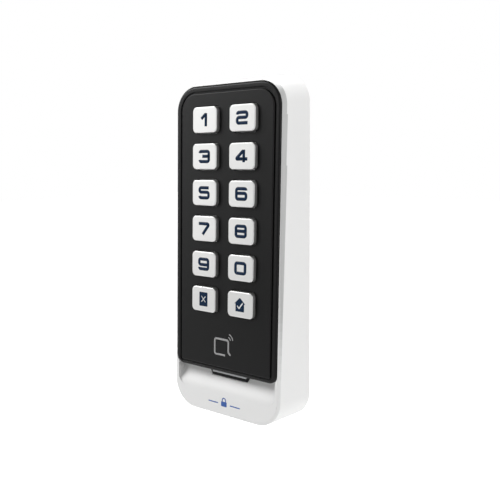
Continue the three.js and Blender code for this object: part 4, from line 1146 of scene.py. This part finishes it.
class READER_OT_rear(bpy.types.Operator):
    """Soften the wall bracket and rear cover, and build the cable grommet"""
    bl_idname = "reader.rear"
    bl_label = "Rear pieces"

    def execute(self, context):
        dark = material("rear_cover_plastic", (0.05, 0.052, 0.056), 0.5, bump=0.3, grain_scale=3000.0,
                        tone_change=0.2, roughness_change=0.15)
        reader_piece(refined("wall_bracket", "bracket_plate"), brushed_steel(), "steel", "wall_bracket")
        reader_piece(refined("rear_cover", "cover_plate"), dark, "dark_plastic", "rear_cover")
        low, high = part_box("cable_grommet")
        spot = centre("cable_grommet")
        neck, flange, bore, thick = 5.7 * MM, 7.4 * MM, 4.0 * MM, 1.0 * MM
        back, front = high[1], low[1]
        edge = 0.25 * MM
        profile = [(bore + edge, back), (flange - edge, back), (flange, back - edge),
                   (flange, back - thick + edge), (flange - edge, back - thick), (neck, back - thick),
                   (neck, front + thick), (flange - edge, front + thick), (flange, front + thick - edge),
                   (flange, front + edge), (flange - edge, front), (bore + edge, front),
                   (bore, front + edge), (bore, back - edge)]
        grommet = turned("grommet_ring", profile, (spot.x, 0, spot.z), steps=64, closed=True)
        rubber = material("grommet_rubber", (0.016, 0.016, 0.017), 0.7, bump=0.3, grain_scale=2500.0,
                          tone_change=0.3, roughness_change=0.2)
        reader_piece(grommet, rubber, "rubber", "cable_grommet")
        return {"FINISHED"}


NODE_FINISHES = {
    "black_gasket": ((0.02, 0.02, 0.022), 0.8, {}),
    "circuit_board": ((0.012, 0.10, 0.042), 0.4, {"coat": 0.3}),
    "copper": ((0.72, 0.36, 0.16), 0.35, {"metallic": 1.0, "group": "brushed_lines"}),
    "ferrite": ((0.05, 0.046, 0.043), 0.7, {}),
    "chip_black": ((0.02, 0.02, 0.022), 0.5, {}),
    "led_white": ((0.80, 0.78, 0.66), 0.3, {}),
    "dark_plastic": ((0.06, 0.063, 0.068), 0.5, {}),
    "terminal_green": ((0.03, 0.20, 0.07), 0.4, {}),
    "steel": ((0.56, 0.565, 0.57), 0.33, {"metallic": 1.0, "group": "brushed_lines"}),
    "rubber": ((0.015, 0.015, 0.016), 0.75, {}),
    "plunger_red": ((0.36, 0.03, 0.02), 0.4, {}),
}


class READER_OT_inside(bpy.types.Operator):
    """Give the inner pieces their finishes"""
    bl_idname = "reader.inside"
    bl_label = "Inner pieces"

    def execute(self, context):
        for part in frame["record"]["subparts"]:
            slot = part["material_slot"]
            if slot not in NODE_FINISHES:
                continue
            base, roughness, extra = NODE_FINISHES[slot]
            paint = material(slot, base, roughness, **extra)
            node = frame["nodes"][part["node"]]
            for item in node.material_slots:
                item.material = paint
        return {"FINISHED"}


# ---- Stage ----

# Each light's name, place, size and power. All face the origin.
SOFTBOXES = (
    ("left_softbox", (-0.72, -0.55, 0.25), (0.6, 0.8), 2.1),
    ("high_softbox", (-0.6, -0.4, 0.6), (0.5, 0.5), 5.8),
    ("top_softbox", (-0.05, 0.35, 0.85), (0.5, 0.3), 8.0),
    ("right_softbox", (0.8, -0.1, 0.25), (0.7, 0.7), 4.7),
)


def area_light(name, place, size, power):
    data = bpy.data.lights.new(name, "AREA")
    data.shape = "RECTANGLE"
    data.size, data.size_y = size
    data.energy = power
    lamp = bpy.data.objects.new(name, data)
    bpy.context.scene.collection.objects.link(lamp)
    lamp.location = place
    lamp.rotation_euler = (-Vector(place)).to_track_quat("-Z", "Y").to_euler()


def seen_strength(tree, extra, base):
    """A light's strength, with some extra where the camera itself sees it."""
    seen = tree.nodes.new("ShaderNodeLightPath").outputs["Is Camera Ray"]
    return math_node(tree, "ADD", math_node(tree, "MULTIPLY", seen, extra), base)


class READER_OT_stage(bpy.types.Operator):
    """Set the pale floor, the soft lights and the camera"""
    bl_idname = "reader.stage"
    bl_label = "Stage"

    def execute(self, context):
        s = settings().stage
        floor = block("floor", (-6, 6), (-6, 6), (-s.floor_drop - 0.01, -s.floor_drop))
        floor_paint = material("pale_floor", (0.92, 0.92, 0.92), 0.8, bump=0.0, specular=0.1, drift_scale=2.0,
                               tone_change=0.01, roughness_change=0.05)
        tree = floor_paint.node_tree
        shader = tree.nodes["Principled BSDF"].inputs
        shader["Emission Color"].default_value = (1.0, 1.0, 1.0, 1.0)
        tree.links.new(seen_strength(tree, 0.85, 0.16), shader["Emission Strength"])
        floor.data.materials.append(floor_paint)
        world = bpy.data.worlds.new("studio")
        context.scene.world = world
        world.use_nodes = True
        tree = world.node_tree
        background = tree.nodes["Background"].inputs
        background["Color"].default_value = (1.0, 1.0, 1.0, 1.0)
        strength = seen_strength(tree, 1.0 - s.world_strength, s.world_strength)
        tree.links.new(strength, background["Strength"])
        context.scene.view_settings.view_transform = "Standard"
        for softbox in SOFTBOXES:
            area_light(*softbox)
        a, e, roll = s.camera_azimuth, s.camera_elevation, s.camera_roll
        back = Vector((math.sin(a) * math.cos(e), -math.cos(a) * math.cos(e), math.sin(e)))
        right = Vector((math.cos(a), math.sin(a), 0))
        up = back.cross(right)
        across = right * math.cos(roll) + up * math.sin(roll)
        above = up * math.cos(roll) - right * math.sin(roll)
        data = bpy.data.cameras.new("camera")
        data.lens = s.lens
        data.sensor_width = 36.0
        data.clip_start = 0.01
        data.clip_end = 30.0
        camera = bpy.data.objects.new("camera", data)
        context.scene.collection.objects.link(camera)
        turn = Matrix((across, above, back)).transposed().to_4x4()
        camera.matrix_world = Matrix.Translation(s.camera_place) @ turn
        context.scene.camera = camera
        return {"FINISHED"}


# ---- Add-on ----

def pointer(kind, name, text):
    return bpy.props.PointerProperty(type=kind, name=name, description=text)


class ReaderSettings(bpy.types.PropertyGroup):
    housing: pointer(HousingSizes, "Housing", "Sizes of the housing")
    panel: pointer(PanelSizes, "Panel", "Sizes of the panel")
    key: pointer(KeySizes, "Keys", "Sizes of the keys")
    mat: pointer(MatSizes, "Mat", "Sizes of the silicone mat")
    finish: pointer(FinishColours, "Finishes", "Colours of the finishes")
    stage: pointer(StageSettings, "Stage", "Camera, floor and light")


OPERATORS = (
    READER_OT_stage, READER_OT_housing, READER_OT_panel, READER_OT_keys, READER_OT_mat, READER_OT_legends,
    READER_OT_marks, READER_OT_status_light, READER_OT_screws, READER_OT_rear, READER_OT_inside,
)


class READER_PT_sidebar(bpy.types.Panel):
    """Steps that build the reader"""
    bl_idname = "READER_PT_sidebar"
    bl_label = "Keypad access reader"
    bl_space_type = "VIEW_3D"
    bl_region_type = "UI"
    bl_category = "Reader"

    def draw(self, context):
        for operator in OPERATORS:
            self.layout.operator(operator.bl_idname)
        for group in ReaderSettings.__annotations__:
            box = self.layout.box()
            box.label(text=group.title())
            values = getattr(context.scene.reader_settings, group)
            for name in values.__annotations__:
                box.prop(values, name)


CLASSES = (
    HousingSizes, PanelSizes, KeySizes, MatSizes, FinishColours, StageSettings, ReaderSettings, *OPERATORS,
    READER_PT_sidebar,
)


def register():
    for item in CLASSES:
        bpy.utils.register_class(item)
    bpy.types.Scene.reader_settings = bpy.props.PointerProperty(type=ReaderSettings)


def unregister():
    del bpy.types.Scene.reader_settings
    for item in reversed(CLASSES):
        bpy.utils.unregister_class(item)


def main():
    register()
    for operator in OPERATORS:
        group, name = operator.bl_idname.split(".")
        getattr(getattr(bpy.ops, group), name)()


if __name__ == "__main__":
    main()
